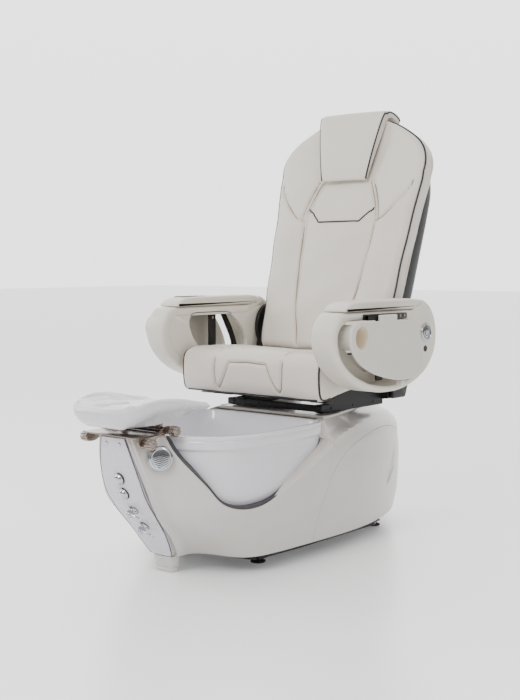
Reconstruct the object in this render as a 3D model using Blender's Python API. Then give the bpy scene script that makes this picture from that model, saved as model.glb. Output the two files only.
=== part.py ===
"""Pedicure spa chair: a moulded base with a foot basin, a reclining massage seat and two lifting arms.

Frame: +Z up, the sitter faces -Y, +X is the sitter's left.  Every shape is drawn in the chair's own layout,
whose origin lies on the floor below the seat, and the root empty then moves the whole chair so that the
world origin is the middle of its bounding box, on the floor.
"""

import math

import bmesh
import bpy
from mathutils import Matrix, Vector

# ---------------------------------------------------------------- driving dimensions (metres)
CHAIR_SHIFT_Y = 0.2740          # moves the layout so that the bounding box is centred on the origin
GAP = 0.0003                    # clearance between pieces that touch

FLOOR_GAP = 0.05                # the shell's lower edge stands clear of the floor
SHELL_WALL = 0.006
SHELL_TOP = 0.424
DECK_TOP = 0.433

BASIN_RIM_TOP = 0.422
BASIN_FLOOR = 0.172
BASIN_WALL = 0.006
BASIN_REAR = -0.212
DRAIN_Y = -0.47
DRAIN_HOLE_R = 0.026
JET_Z = 0.285
JET_HOLE_R = 0.036
JET_WALL_Y = -0.244              # the back of the basin's rear wall at the jet
JET_FACE_Y = -0.2565             # and its face in the basin, which leans by the slope
JET_WALL_SLOPE = 0.140

SEAT_HALF_WIDTH = 0.285
SEAT_FRONT = -0.312
SEAT_REAR = 0.044
RAIL_TOP = 0.4590

BACK_LEAN = math.radians(17.0)
BACK_FACE = (0.207, 1.111)      # y and z of a point on the back cushion's front face, where s = 0
BACK_CUSHION_DEPTH = 0.055
BACK_PIVOT_S = -0.55
BACK_PIVOT_DEPTH = 0.075
CRANK_LENGTH = 0.09

ARM_INNER = 0.304
ARM_OUTER = 0.390
ARM_PIVOT = (0.127, 0.689)      # y and z
TRAY_INNER = 0.4155
TRAY_OUTER = 0.4285
TRAY_AXIS = (0.422, 0.751)      # x and z
CUP_CENTRE = (-0.288, 0.691)    # y and z
CUP_BORE_R = 0.034
CUP_WALL = 0.004
CUP_DEPTH = 0.058

FOOTREST_TILT_AXIS = (-0.785, 0.441)    # y and z
CLAMP_KNOB = (-0.880, 0.414)            # y and z
KNOB_X = 0.132

SPRAY_CENTRE = Vector((0.1135, -0.8255, 0.367))
SPRAY_AXIS = Vector((0.84, -0.54, 0.05)).normalized()

# ---------------------------------------------------------------- scene, bodies and materials
for old in list(bpy.data.objects):
    bpy.data.objects.remove(old, do_unlink=True)

COLLECTION = bpy.context.scene.collection


def empty(name, place=(0.0, 0.0, 0.0), parent=None):
    marker = bpy.data.objects.new(name, None)
    marker.empty_display_size = 0.05
    marker.location = place
    marker.parent = parent
    COLLECTION.objects.link(marker)
    return marker


ROOT = empty("chair", (0.0, CHAIR_SHIFT_Y, 0.0))
BODY_PLACE = {}
BODY_EMPTY = {}


def body(name, place=(0.0, 0.0, 0.0), parent=None):
    """A body's empty, at a point of its joint's axis in the chair's layout."""
    above = Vector(BODY_PLACE[parent]) if parent else Vector()
    BODY_PLACE[name] = Vector(place)
    BODY_EMPTY[name] = empty(f"axis_of_{name}", Vector(place) - above, BODY_EMPTY[parent] if parent else ROOT)


def paint(name, colour, roughness, metallic=0.0):
    material = bpy.data.materials.new(name)
    material.use_nodes = True
    shader = material.node_tree.nodes["Principled BSDF"]
    shader.inputs["Base Color"].default_value = (*colour, 1.0)
    shader.inputs["Roughness"].default_value = roughness
    shader.inputs["Metallic"].default_value = metallic
    material.diffuse_color = (*colour, 1.0)
    return material


PEARL = paint("pearl_shell", (0.62, 0.60, 0.575), 0.22)
BOWL = paint("bowl_white", (0.72, 0.71, 0.74), 0.12)
PANEL = paint("panel_pearl", (0.67, 0.655, 0.70), 0.22)
IVORY = paint("ivory_plastic", (0.70, 0.67, 0.61), 0.35)
TRAY = paint("tray_plastic", (0.64, 0.63, 0.59), 0.40)
LEATHER = paint("leather", (0.70, 0.675, 0.64), 0.45)
WHITE = paint("footrest_white", (0.80, 0.80, 0.80), 0.25)
CHROME = paint("chrome", (0.80, 0.80, 0.82), 0.08, 1.0)
STEEL = paint("stainless", (0.55, 0.50, 0.47), 0.25, 1.0)
BLACK_METAL = paint("black_metal", (0.02, 0.02, 0.02), 0.40, 0.6)
BLACK_PLASTIC = paint("black_plastic", (0.03, 0.03, 0.033), 0.50)
RUBBER = paint("rubber", (0.025, 0.025, 0.025), 0.80)

# ---------------------------------------------------------------- mesh tools


def as_object(mesh_data, name="shape"):
    """A linked object from a bmesh, with its faces pointing outwards."""
    bmesh.ops.recalc_face_normals(mesh_data, faces=mesh_data.faces)
    mesh = bpy.data.meshes.new(name)
    mesh_data.to_mesh(mesh)
    mesh_data.free()
    shape = bpy.data.objects.new(name, mesh)
    COLLECTION.objects.link(shape)
    return shape


def loft(rings, close_profile=False):
    """A solid through rings of equal length; open ends are capped, or the last ring meets the first."""
    build = bmesh.new()
    rows = [[build.verts.new(point) for point in ring] for ring in rings]
    pairs = list(zip(rows, rows[1:]))
    if close_profile:
        pairs.append((rows[-1], rows[0]))
    for low, high in pairs:
        count = len(low)
        for i in range(count):
            j = (i + 1) % count
            build.faces.new((low[i], low[j], high[j], high[i]))
    if not close_profile:
        build.faces.new(rows[0])
        build.faces.new(rows[-1])
    return as_object(build)


def split(shape):
    """Splits a shape's quads along the same diagonal everywhere, so that two nested lofts stay parallel."""
    build = bmesh.new()
    build.from_mesh(shape.data)
    bmesh.ops.triangulate(build, faces=[f for f in build.faces if len(f.verts) == 4], quad_method="FIXED")
    build.to_mesh(shape.data)
    build.free()
    return shape


def to_plane(plane, a, b, height):
    """A point from two coordinates in a plane and one along its normal."""
    if plane == "YZ":
        return Vector((height, a, b))
    if plane == "XZ":
        return Vector((a, height, b))
    return Vector((a, b, height))


def prism(plane, outline, low, high):
    return loft([[to_plane(plane, a, b, level) for a, b in outline] for level in (low, high)])


def rounded(corners, radius, steps=3):
    """A closed outline with every corner rounded by an arc-like curve."""
    result = []
    count = len(corners)
    for i in range(count):
        before, here, after = (Vector(corners[k % count]) for k in (i - 1, i, i + 1))
        reach_in = min(radius, (before - here).length * 0.45)
        reach_out = min(radius, (after - here).length * 0.45)
        start = here + (before - here).normalized() * reach_in
        end = here + (after - here).normalized() * reach_out
        for k in range(steps + 1):
            t = k / steps
            result.append(tuple((1 - t) ** 2 * start + 2 * t * (1 - t) * here + t * t * end))
    return result


def circle(centre, radius, sides):
    return [
        (centre[0] + radius * math.cos(math.tau * k / sides), centre[1] + radius * math.sin(math.tau * k / sides))
        for k in range(sides)
    ]


def box(low, high, bevel=0.0):
    shape = prism("XY", [(low[0], low[1]), (high[0], low[1]), (high[0], high[1]), (low[0], high[1])], low[2], high[2])
    if bevel:
        soften(shape, bevel)
    return shape


def soften(shape, width, segments=1):
    edge = shape.modifiers.new("soften", "BEVEL")
    edge.width = width
    edge.segments = segments
    edge.limit_method = "ANGLE"
    edge.angle_limit = math.radians(50.0)
    return settle(shape)


def settle(shape):
    """Applies the modifiers of a shape to its mesh."""
    bpy.context.view_layer.update()
    seen = shape.evaluated_get(bpy.context.evaluated_depsgraph_get())
    mesh = bpy.data.meshes.new_from_object(seen)
    shape.modifiers.clear()
    shape.data = mesh
    return shape


def turned(profile, start, axis, sides=16):
    """A solid of revolution; profile lists (radius, height along the axis) and may begin or end on the axis."""
    axis = Vector(axis).normalized()
    turn = Vector((0.0, 0.0, 1.0)).rotation_difference(axis).to_matrix()
    build = bmesh.new()
    rows = []
    for radius, height in profile:
        if radius == 0.0:
            rows.append([build.verts.new(Vector(start) + axis * height)])
        else:
            rows.append([
                build.verts.new(Vector(start) + turn @ Vector((a, b, height)))
                for a, b in circle((0.0, 0.0), radius, sides)
            ])
    ring_shaped = len(rows[0]) > 1 and len(rows[-1]) > 1
    pairs = list(zip(rows, rows[1:]))
    if ring_shaped:
        pairs.append((rows[-1], rows[0]))
    for low, high in pairs:
        for i in range(sides):
            j = (i + 1) % sides
            if len(low) == 1:
                build.faces.new((low[0], high[i], high[j]))
            elif len(high) == 1:
                build.faces.new((low[i], low[j], high[0]))
            else:
                build.faces.new((low[i], low[j], high[j], high[i]))
    shape = as_object(build)
    shape.data.shade_smooth()
    shape.data.set_sharp_from_angle(angle=math.radians(40.0))
    return shape


def rod(start, end, radius, sides=10):
    start, end = Vector(start), Vector(end)
    length = (end - start).length
    return turned([(0.0, 0.0), (radius, 0.0), (radius, length), (0.0, length)], start, end - start, sides)


def boolean(shape, tool, operation):
    change = shape.modifiers.new(operation, "BOOLEAN")
    change.operation = operation
    change.object = tool
    change.solver = "EXACT"
    settle(shape)
    bpy.data.objects.remove(tool, do_unlink=True)
    return shape


def cut(shape, *tools):
    for tool in tools:
        boolean(shape, tool, "DIFFERENCE")
    return shape


def join(shape, *others):
    for other in others:
        boolean(shape, other, "UNION")
    return shape


def duplicate(shape):
    twin = shape.copy()
    twin.data = shape.data.copy()
    COLLECTION.objects.link(twin)
    return twin


def mirrored(shape):
    """A copy of a shape reflected in X."""
    twin = duplicate(shape)
    twin.data.transform(Matrix.Scale(-1.0, 4, (1.0, 0.0, 0.0)))
    twin.data.flip_normals()
    return twin


def node(name, shape, material, body_name):
    """Names a shape, gives it its material and hangs it on its body's empty."""
    build = bmesh.new()
    build.from_mesh(shape.data)
    bmesh.ops.remove_doubles(build, verts=build.verts, dist=0.00002)
    bmesh.ops.dissolve_degenerate(build, edges=build.edges, dist=0.00001)
    bmesh.ops.recalc_face_normals(build, faces=build.faces)
    build.to_mesh(shape.data)
    build.free()
    shape.name = name
    shape.data.name = name
    shape.data.materials.clear()
    shape.data.materials.append(material)
    shape.parent = BODY_EMPTY[body_name]
    shape.location = -BODY_PLACE[body_name]
    return shape


def pair(name, shape, material, body_name):
    """The left (+X) piece and its mirror image on the right; body_name takes the side's name in its braces."""
    twin = mirrored(shape)
    node(f"{name}_left", shape, material, body_name.format("left"))
    node(f"{name}_right", twin, material, body_name.format("right"))


def back_point(x, s, depth):
    """A point of the back: s runs up its front face, depth runs backwards from that face."""
    y = BACK_FACE[0] + s * math.sin(BACK_LEAN) + depth * math.cos(BACK_LEAN)
    z = BACK_FACE[1] + s * math.cos(BACK_LEAN) - depth * math.sin(BACK_LEAN)
    return Vector((x, y, z))


BACK_PIVOT = back_point(0.0, BACK_PIVOT_S, BACK_PIVOT_DEPTH)
BACK_UP = Vector((0.0, math.sin(BACK_LEAN), math.cos(BACK_LEAN)))
BACK_REARWARD = Vector((0.0, math.cos(BACK_LEAN), -math.sin(BACK_LEAN)))

# ---------------------------------------------------------------- bodies


def make_bodies():
    body("base")
    body("footrest_carriage", (0.0, CLAMP_KNOB[0], CLAMP_KNOB[1]), "base")
    body("footrest", (0.0, *FOOTREST_TILT_AXIS), "footrest_carriage")
    for side, sign in (("left", 1.0), ("right", -1.0)):
        body(f"clamp_knob_{side}", (sign * KNOB_X, *CLAMP_KNOB), "base")
        body(f"tilt_knob_{side}", (sign * KNOB_X, *FOOTREST_TILT_AXIS), "footrest_carriage")
    for name, place in PANEL_FITTINGS.items():
        body(name, place, "base")
    body("spray_head", SPRAY_CENTRE, "base")
    body("drain_stopper", (0.0, DRAIN_Y, BASIN_FLOOR), "base")
    body("jet_impeller", (0.0, BASIN_REAR + 0.02, JET_Z), "base")
    body("seat", (0.0, 0.0, RAIL_TOP), "base")
    body("recline_rod", (RECLINE_X, 0.0, RECLINE_Z), "seat")
    body("back", BACK_PIVOT, "seat")
    body("massage_carriage", back_point(0.0, CARRIAGE_S, RAIL_DEPTH), "back")
    for side, sign in (("left", 1.0), ("right", -1.0)):
        body(f"massage_roller_{side}", back_point(sign * ROLLER_X, CARRIAGE_S, ROLLER_DEPTH), "massage_carriage")
        body(f"arm_{side}", (sign * ARM_INNER, *ARM_PIVOT), "seat")
        body(f"tray_{side}", (sign * TRAY_AXIS[0], 0.0, TRAY_AXIS[1]), f"arm_{side}")


# ---------------------------------------------------------------- base: shell, cover, basin, deck

# Half outlines of the shell from the front middle to the rear middle, as (x, y), by height.
SHELL_LEVELS = {
    FLOOR_GAP: [(0.020, -0.703), (0.038, -0.700), (0.052, -0.672), (0.060, -0.632), (0.110, -0.608), (0.175, -0.597),
            (0.222, -0.570), (0.246, -0.500), (0.254, -0.304), (0.257, -0.071), (0.229, 0.120), (0.158, 0.310),
            (0.070, 0.395)],
    0.105: [(0.030, -0.733), (0.060, -0.729), (0.078, -0.700), (0.098, -0.672), (0.140, -0.655), (0.200, -0.635),
            (0.245, -0.590), (0.268, -0.490), (0.272, -0.300), (0.271, -0.071), (0.238, 0.125), (0.164, 0.325),
            (0.072, 0.408)],
    0.200: [(0.040, -0.810), (0.076, -0.806), (0.094, -0.792), (0.118, -0.778), (0.160, -0.762), (0.212, -0.728),
            (0.258, -0.665), (0.281, -0.540), (0.284, -0.300), (0.280, -0.071), (0.243, 0.130), (0.168, 0.332),
            (0.074, 0.418)],
    0.300: [(0.040, -0.861), (0.076, -0.857), (0.096, -0.838), (0.116, -0.812), (0.155, -0.785), (0.212, -0.748),
            (0.262, -0.670), (0.284, -0.530), (0.283, -0.300), (0.274, -0.071), (0.240, 0.130), (0.166, 0.330),
            (0.074, 0.416)],
    0.380: [(0.028, -0.885), (0.060, -0.881), (0.078, -0.868), (0.098, -0.832), (0.118, -0.792), (0.196, -0.752),
            (0.258, -0.660), (0.278, -0.520), (0.270, -0.300), (0.252, -0.071), (0.222, 0.110), (0.158, 0.300),
            (0.070, 0.385)],
    SHELL_TOP: [(0.024, -0.893), (0.044, -0.890), (0.064, -0.880), (0.086, -0.834), (0.106, -0.790), (0.190, -0.745),
            (0.250, -0.650), (0.268, -0.520), (0.264, -0.290), (0.208, -0.080), (0.164, 0.075), (0.114, 0.240),
            (0.050, 0.330)],
}
# The lower line of the basin's apron, as (y, z); the shell is cut away above it.
APRON_LINE = [(-0.800, 0.450), (-0.796, 0.405), (-0.784, 0.361), (-0.766, 0.320), (-0.738, 0.277), (-0.705, 0.232),
              (-0.660, 0.210), (-0.600, 0.204), (-0.535, 0.216), (-0.463, 0.250), (-0.340, 0.310), (-0.250, 0.350),
              (-0.214, 0.380), (-0.205, 0.450)]
# The seam of the rear cover, as (y, z).
COVER_LINE = [(-0.300, 0.030), (-0.305, 0.120), (-0.285, 0.180), (-0.225, 0.268), (-0.149, 0.316), (-0.060, 0.345),
              (0.040, 0.361), (0.140, 0.364), (0.230, 0.350), (0.300, 0.325), (0.370, 0.303), (0.480, 0.295),
              (0.480, 0.030)]
CUT_REACH = 0.4


def whole_outline(half):
    return list(half) + [(-x, y) for x, y in reversed(half)]


def grown(outline, amount):
    """A closed outline moved outwards along its corner normals."""
    count = len(outline)
    turn = sum(
        outline[i][0] * outline[(i + 1) % count][1] - outline[(i + 1) % count][0] * outline[i][1] for i in range(count)
    )
    sign = 1.0 if turn > 0 else -1.0
    result = []
    for i in range(count):
        here = Vector(outline[i])
        first = (here - Vector(outline[i - 1])).normalized()
        second = (Vector(outline[(i + 1) % count]) - here).normalized()
        normal_a = Vector((first.y, -first.x)) * sign
        normal_b = Vector((second.y, -second.x)) * sign
        middle = (normal_a + normal_b).normalized()
        result.append(tuple(here + middle * (amount / max(0.5, middle.dot(normal_a)))))
    return result


def make_shell():
    shell = split(loft([[(x, y, z) for x, y in whole_outline(half)] for z, half in SHELL_LEVELS.items()]))
    hollow = {z: grown(whole_outline(half), -SHELL_WALL) for z, half in SHELL_LEVELS.items()}
    levels = [(FLOOR_GAP - 0.01, hollow[FLOOR_GAP])] + list(hollow.items()) + [(SHELL_TOP + 0.01, hollow[SHELL_TOP])]
    cavity = split(loft([[(x, y, z) for x, y in outline] for z, outline in levels]))
    cut(shell, cavity, prism("YZ", APRON_LINE, -CUT_REACH, CUT_REACH))
    window = rounded([(-0.046, 0.085), (0.046, 0.085), (0.058, 0.2), (0.055, 0.29), (0.034, 0.385),
                      (-0.034, 0.385), (-0.055, 0.29), (-0.058, 0.2)], 0.01, 1)
    cut(shell, prism("XZ", window, -0.95, -0.60))
    cut(shell, rod(SPRAY_CENTRE - SPRAY_AXIS * 0.04, SPRAY_CENTRE + SPRAY_AXIS * 0.04, 0.0305, 20))
    cover = duplicate(shell)
    boolean(cover, prism("YZ", COVER_LINE, -CUT_REACH, CUT_REACH), "INTERSECT")
    cut(shell, prism("YZ", grown(COVER_LINE, 2 * GAP), -CUT_REACH, CUT_REACH))
    node("base_shell", shell, PEARL, "base")
    node("rear_cover", cover, PEARL, "base")


def make_deck():
    half = [(0.150, -0.2115), (0.228, -0.2115), (0.196, -0.071), (0.152, 0.075), (0.104, 0.232), (0.046, 0.318)]
    plate = prism("XY", rounded(whole_outline(half), 0.01, 1), SHELL_TOP + GAP, DECK_TOP)
    node("deck_plate", plate, PEARL, "base")


# Half outlines of the basin at its rim and at the foot of its apron.
BASIN_RIM = [(0.060, -0.772), (0.112, -0.764), (0.180, -0.738), (0.236, -0.690), (0.264, -0.610), (0.272, -0.500),
             (0.266, -0.360), (0.250, -0.228), (0.160, -0.214)]
BASIN_FOOT = [(0.060, -0.700), (0.105, -0.694), (0.160, -0.676), (0.215, -0.642), (0.252, -0.580), (0.264, -0.490),
              (0.262, -0.360), (0.244, -0.232), (0.158, -0.222)]
APRON_BOTTOM = 0.188
BASIN_MIDDLE_Y = -0.490
BASIN_HALF_SIZE = 0.272


def basin_ring(inset, z):
    """A ring of the basin: its two outlines blended at that height, then drawn in towards the middle."""
    t = min(1.0, max(0.0, (z - APRON_BOTTOM) / (0.300 - APRON_BOTTOM)))
    half = [(a[0] * (1 - t) + b[0] * t, a[1] * (1 - t) + b[1] * t) for a, b in zip(BASIN_FOOT, BASIN_RIM)]
    scale = 1.0 - inset / BASIN_HALF_SIZE
    return [(x * scale, BASIN_MIDDLE_Y + (y - BASIN_MIDDLE_Y) * scale, z) for x, y in whole_outline(half)]


def make_basin():
    steps = [(0.120, BASIN_FLOOR), (0.075, 0.186), (0.045, 0.235), (0.026, 0.400), (0.020, BASIN_RIM_TOP),
             (0.006, BASIN_RIM_TOP), (-0.002, 0.414), (-0.002, 0.390), (0.006, 0.386), (0.009, 0.300),
             (0.009, APRON_BOTTOM), (0.013, APRON_BOTTOM), (0.013, 0.384), (0.0195, 0.384), (0.038, 0.232),
             (0.068, 0.180), (0.116, BASIN_FLOOR - BASIN_WALL)]
    basin = loft([basin_ring(inset, z) for inset, z in steps])
    cut(basin, rod((0, DRAIN_Y, 0.1), (0, DRAIN_Y, 0.3), DRAIN_HOLE_R, 16))
    cut(basin, rod((0, BASIN_REAR - 0.09, JET_Z), (0, BASIN_REAR + 0.03, JET_Z), JET_HOLE_R, 20))
    cut(basin, box((-0.120, -0.2325, 0.180), (0.120, -0.190, 0.383)))
    # One moulding, named in two halves so that its collision pieces can follow the bowl closely.
    for name, low, high in (("basin_left", GAP / 2, 1.0), ("basin_right", -1.0, -GAP / 2)):
        node(name, boolean(duplicate(basin), box((low, -1.5, -0.5), (high, 0.5, 1.0)), "INTERSECT"), BOWL, "base")
    bpy.data.objects.remove(basin, do_unlink=True)


# ---------------------------------------------------------------- base: front panel and its fittings

# The panel's outline from its foot to its top: half width, y of its outer face, and z.
PANEL_LEVELS = [(0.024, -0.7125, 0.052), (0.040, -0.7165, 0.060), (0.058, -0.7390, 0.095), (0.066, -0.7660, 0.135),
                (0.077, -0.8180, 0.200), (0.079, -0.8520, 0.250), (0.077, -0.8720, 0.300), (0.062, -0.8905, 0.365),
                (0.046, -0.9020, 0.4235)]
PANEL_THICK = 0.0035
PANEL_CROWN = 0.003


def panel_outer(z):
    """The outer face's y at a height, and the slope's angle from vertical there."""
    for (_, y0, z0), (_, y1, z1) in zip(PANEL_LEVELS, PANEL_LEVELS[1:]):
        if z <= z1:
            share = (z - z0) / (z1 - z0)
            return y0 + (y1 - y0) * share, math.atan2(y0 - y1, z1 - z0)
    return PANEL_LEVELS[-1][1], 0.0


def panel_normal(z):
    _, lean = panel_outer(z)
    return Vector((0.0, -math.cos(lean), -math.sin(lean)))


def panel_point(x, z):
    return Vector((x, panel_outer(z)[0], z))


PANEL_FITTINGS = {
    "jet_button": panel_point(0.0, 0.303),
    "light_button": panel_point(0.0, 0.258),
    "hot_handle": panel_point(0.0, 0.205),
    "cold_handle": panel_point(0.0, 0.150),
}
BUTTON_HOLE_R = 0.0095
STEM_HOLE_R = 0.0075
BUTTON_TRAVEL = 0.003
LEVER_REST = math.radians(68.0)     # the levers' angle at rest, from straight down the panel


def make_front_panel():
    rings = []
    for half, y, z in PANEL_LEVELS:
        shares = (-1.0, -0.55, 0.55, 1.0)
        front = [(half * k, y + PANEL_CROWN * k * k, z) for k in shares]
        rear = [(half * k, y + PANEL_CROWN * k * k + PANEL_THICK, z) for k in reversed(shares)]
        rings.append(front + rear)
    panel = loft(rings)
    for name, centre in PANEL_FITTINGS.items():
        radius = BUTTON_HOLE_R if "button" in name else STEM_HOLE_R
        normal = panel_normal(centre.z)
        cut(panel, rod(centre - normal * 0.02, centre + normal * 0.02, radius, 14))
    node("front_panel", panel, PANEL, "base")


def make_buttons():
    for name in ("jet_button", "light_button"):
        centre = PANEL_FITTINGS[name]
        rim = BUTTON_TRAVEL + 0.0012
        profile = [(0.0, -0.016), (0.0075, -0.016), (0.0075, rim), (0.0165, rim), (0.0175, rim + 0.002),
                   (0.0145, rim + 0.007), (0.008, rim + 0.0105), (0.0, rim + 0.012)]
        node(name, turned(profile, centre, panel_normal(centre.z), 16), CHROME, name)


def make_handles():
    """Lever handles on the two water valves, with a hub, a stem and a tapering lever."""
    for name in ("hot_handle", "cold_handle"):
        centre = PANEL_FITTINGS[name]
        normal = panel_normal(centre.z)
        hub = turned([(0.0, -0.016), (0.006, -0.016), (0.006, 0.0006), (0.0145, 0.0006), (0.0145, 0.004),
                      (0.0105, 0.009), (0.0105, 0.024), (0.0085, 0.028), (0.0, 0.029)], centre, normal, 14)
        down_the_panel = Vector((1.0, 0.0, 0.0)).cross(normal)
        lever_way = Matrix.Rotation(LEVER_REST, 3, normal) @ down_the_panel
        root = centre + normal * 0.019
        lever = turned([(0.0, 0.0), (0.0065, 0.0), (0.0050, 0.030), (0.0042, 0.044), (0.0, 0.046)],
                       root, lever_way, 8)
        node(name, join(hub, lever), CHROME, name)


def make_valve_body():
    """The brass body that both stems turn in, behind the panel."""
    hot, cold = PANEL_FITTINGS["hot_handle"], PANEL_FITTINGS["cold_handle"]
    shapes = []
    for centre in (hot, cold):
        normal = panel_normal(centre.z)
        shapes.append(rod(centre - normal * 0.0175, centre - normal * 0.050, 0.014, 10))
    back = [point - panel_normal(point.z) * 0.046 for point in (hot, cold)]
    reach = (back[0] - back[1]).normalized() * 0.03
    shapes.append(rod(back[0] + reach, back[1] - reach, 0.011, 10))
    node("water_valve", join(*shapes), BRASS, "base")


BRASS = paint("brass", (0.62, 0.46, 0.22), 0.35, 1.0)


def make_spray():
    socket = turned([(0.0300, -0.030), (0.0300, 0.0036), (0.0345, 0.0036), (0.0345, 0.0060), (0.0262, 0.0060),
                     (0.0262, -0.030)], SPRAY_CENTRE, SPRAY_AXIS, 20)
    node("spray_socket", socket, CHROME, "base")
    head = turned([(0.0, -0.026), (0.018, -0.026), (0.024, -0.012), (0.024, 0.0064), (0.0335, 0.0064),
                   (0.0350, 0.0100), (0.0335, 0.0150), (0.0280, 0.0175), (0.0, 0.0175)], SPRAY_CENTRE, SPRAY_AXIS, 20)
    node("spray_head", head, CHROME, "spray_head")


# ---------------------------------------------------------------- base: plinth, feet, drain and jet
PLINTH_LOW, PLINTH_HIGH = 0.024, 0.046
FOOT_PLACES = {"front_left": (0.15, -0.44), "front_right": (-0.15, -0.44),
               "rear_left": (0.14, 0.20), "rear_right": (-0.14, 0.20)}


def make_plinth():
    half = [(0.120, -0.520), (0.190, -0.500), (0.200, -0.300), (0.200, 0.120), (0.120, 0.300)]
    outline = whole_outline(half)
    frame = prism("XY", outline, PLINTH_LOW, PLINTH_HIGH)
    cut(frame, prism("XY", grown(outline, -0.035), 0.0, 0.1))
    crosses = []
    for y, reach in ((-0.47, 0.245), (-0.20, 0.250), (0.09, 0.230)):
        crosses.append(box((-0.195, y - 0.02, PLINTH_LOW), (0.195, y + 0.02, FLOOR_GAP - GAP)))
        crosses.append(box((-reach, y - 0.018, 0.0455), (reach, y + 0.018, FLOOR_GAP - GAP)))
    node("base_frame", join(frame, *crosses), BLACK_METAL, "base")
    for name, (x, y) in FOOT_PLACES.items():
        profile = [(0.0, 0.0), (0.022, 0.0), (0.024, 0.004), (0.012, 0.012), (0.008, PLINTH_LOW - GAP),
                   (0.0, PLINTH_LOW - GAP)]
        node(f"foot_{name}", turned(profile, (x, y, 0.0), (0, 0, 1), 12), RUBBER, "base")
    low = rounded([(-0.028, -0.7050), (0.028, -0.7050), (0.034, -0.668), (-0.034, -0.668)], 0.008, 1)
    high = rounded([(-0.034, -0.7085), (0.034, -0.7085), (0.045, -0.660), (-0.045, -0.660)], 0.008, 1)
    prow = loft([[(x, y, 0.0) for x, y in low], [(x, y, FLOOR_GAP - GAP) for x, y in high]])
    node("prow_foot", prow, PEARL, "base")


def make_drain():
    top = BASIN_FLOOR + GAP
    fitting = turned([(0.0180, top), (0.0180, 0.126), (0.0240, 0.126), (0.0240, top), (0.0330, top),
                      (0.0330, top + 0.0025), (0.0180, top + 0.0025)], (0, DRAIN_Y, 0), (0, 0, 1), 16)
    node("drain_fitting", fitting, CHROME, "base")
    stopper = turned([(0.0, 0.140), (0.004, 0.140), (0.004, top + 0.0032), (0.0240, top + 0.0032),
                      (0.0225, top + 0.0060), (0.0, top + 0.0080)], (0, DRAIN_Y, 0), (0, 0, 1), 16)
    node("drain_stopper", stopper, CHROME, "drain_stopper")
    route = [(0, DRAIN_Y, 0.1255), (0, DRAIN_Y, 0.096), (0, DRAIN_Y + 0.026, 0.076), (0, -0.10, 0.072),
             (0, 0.26, 0.068)]
    node("drain_pipe", pipe(route, 0.019, 10), BLACK_PLASTIC, "base")


def pipe(route, radius, sides):
    """A solid tube along a route in the plane x = 0."""
    points = [Vector(p) for p in route]
    rings = []
    for i, point in enumerate(points):
        before = points[max(0, i - 1)]
        after = points[min(len(points) - 1, i + 1)]
        way = (after - before).normalized()
        across = Vector((1.0, 0.0, 0.0))
        up = way.cross(across).normalized()
        rings.append([point + across * a + up * b for a, b in circle((0.0, 0.0), radius, sides)])
    return loft(rings)


def make_jet():
    """The whirlpool jet: a pod behind the basin's rear wall, its motor, its impeller, and a slotted cover."""
    wall = JET_WALL_Y
    pod = turned([(0.0345, -0.004), (0.0345, 0.0285), (0.048, 0.0290), (0.048, 0.064), (0.030, 0.064),
                  (0.030, -0.004)], (0, wall, JET_Z), (0, 1, 0), 18)
    node("jet_housing", pod, BLACK_PLASTIC, "base")
    node("jet_motor", rod((0, wall + 0.0643, JET_Z), (0, wall + 0.120, JET_Z), 0.036, 16), BLACK_METAL, "base")
    hub = rod((0, wall + 0.014, JET_Z), (0, wall + 0.062, JET_Z), 0.008, 10)
    blades = []
    for k in range(3):
        blade = box((-0.0035, wall + 0.022, -0.025), (0.0035, wall + 0.046, 0.025))
        blade.data.transform(Matrix.Rotation(math.tau * k / 6, 4, (0.0, 1.0, 0.0)))
        blade.data.transform(Matrix.Translation((0.0, 0.0, JET_Z)))
        blades.append(blade)
    node("jet_impeller", join(hub, *blades), BLACK_PLASTIC, "jet_impeller")
    inward = Vector((0.0, -1.0, JET_WALL_SLOPE)).normalized()
    seat = Vector((0.0, JET_FACE_Y, JET_Z)) + inward * 0.0008
    cover = turned([(0.0, 0.0), (0.050, 0.0), (0.047, 0.003), (0.030, 0.007), (0.0, 0.008)], seat, inward, 20)
    slots = [
        box((x - 0.0025, JET_FACE_Y - 0.02, JET_Z - half), (x + 0.0025, JET_FACE_Y + 0.01, JET_Z + half))
        for x, half in ((-0.016, 0.017), (0.0, 0.024), (0.016, 0.017))
    ]
    node("jet_cover", cut(cover, *slots), CHROME, "base")


# ---------------------------------------------------------------- footrest


def make_footrest():
    mount_half = [(0.060, -0.893), (0.074, -0.880), (0.088, -0.845), (0.094, -0.800)]
    mount = prism("XY", whole_outline(mount_half), SHELL_TOP + GAP, SHELL_TOP + 0.0055)
    node("footrest_mount", mount, STEEL, "base")
    top = SHELL_TOP + 0.0055
    plate = box((-0.108, -0.915, top + GAP), (0.108, -0.7975, top + 0.0045))
    sides = []
    for sign in (1.0, -1.0):
        outline = [(-0.905, top + 0.004), (-0.903, 0.4040), (-0.872, 0.4005), (-0.850, 0.4120), (-0.812, 0.4265),
                   (-0.772, 0.4265), (-0.768, 0.4545), (-0.800, 0.4545), (-0.830, top + 0.004)]
        inner, outer = sorted((sign * 0.1045, sign * 0.1080))
        sides.append(prism("YZ", outline, inner, outer))
    node("footrest_carriage", join(plate, *sides), STEEL, "footrest_carriage")
    for name, (y, z), radius in (("clamp_knob", CLAMP_KNOB, 0.0155), ("tilt_knob", FOOTREST_TILT_AXIS, 0.0155)):
        start = 0.1083
        profile = [(0.0, 0.0), (0.008, 0.0), (0.008, 0.010), (radius, 0.012), (radius, 0.034), (radius - 0.003, 0.037),
                   (0.0, 0.037)]
        pair(name, turned(profile, (start, y, z), (1, 0, 0), 14), STEEL, name + "_{}")
    make_footrest_pad()


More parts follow.
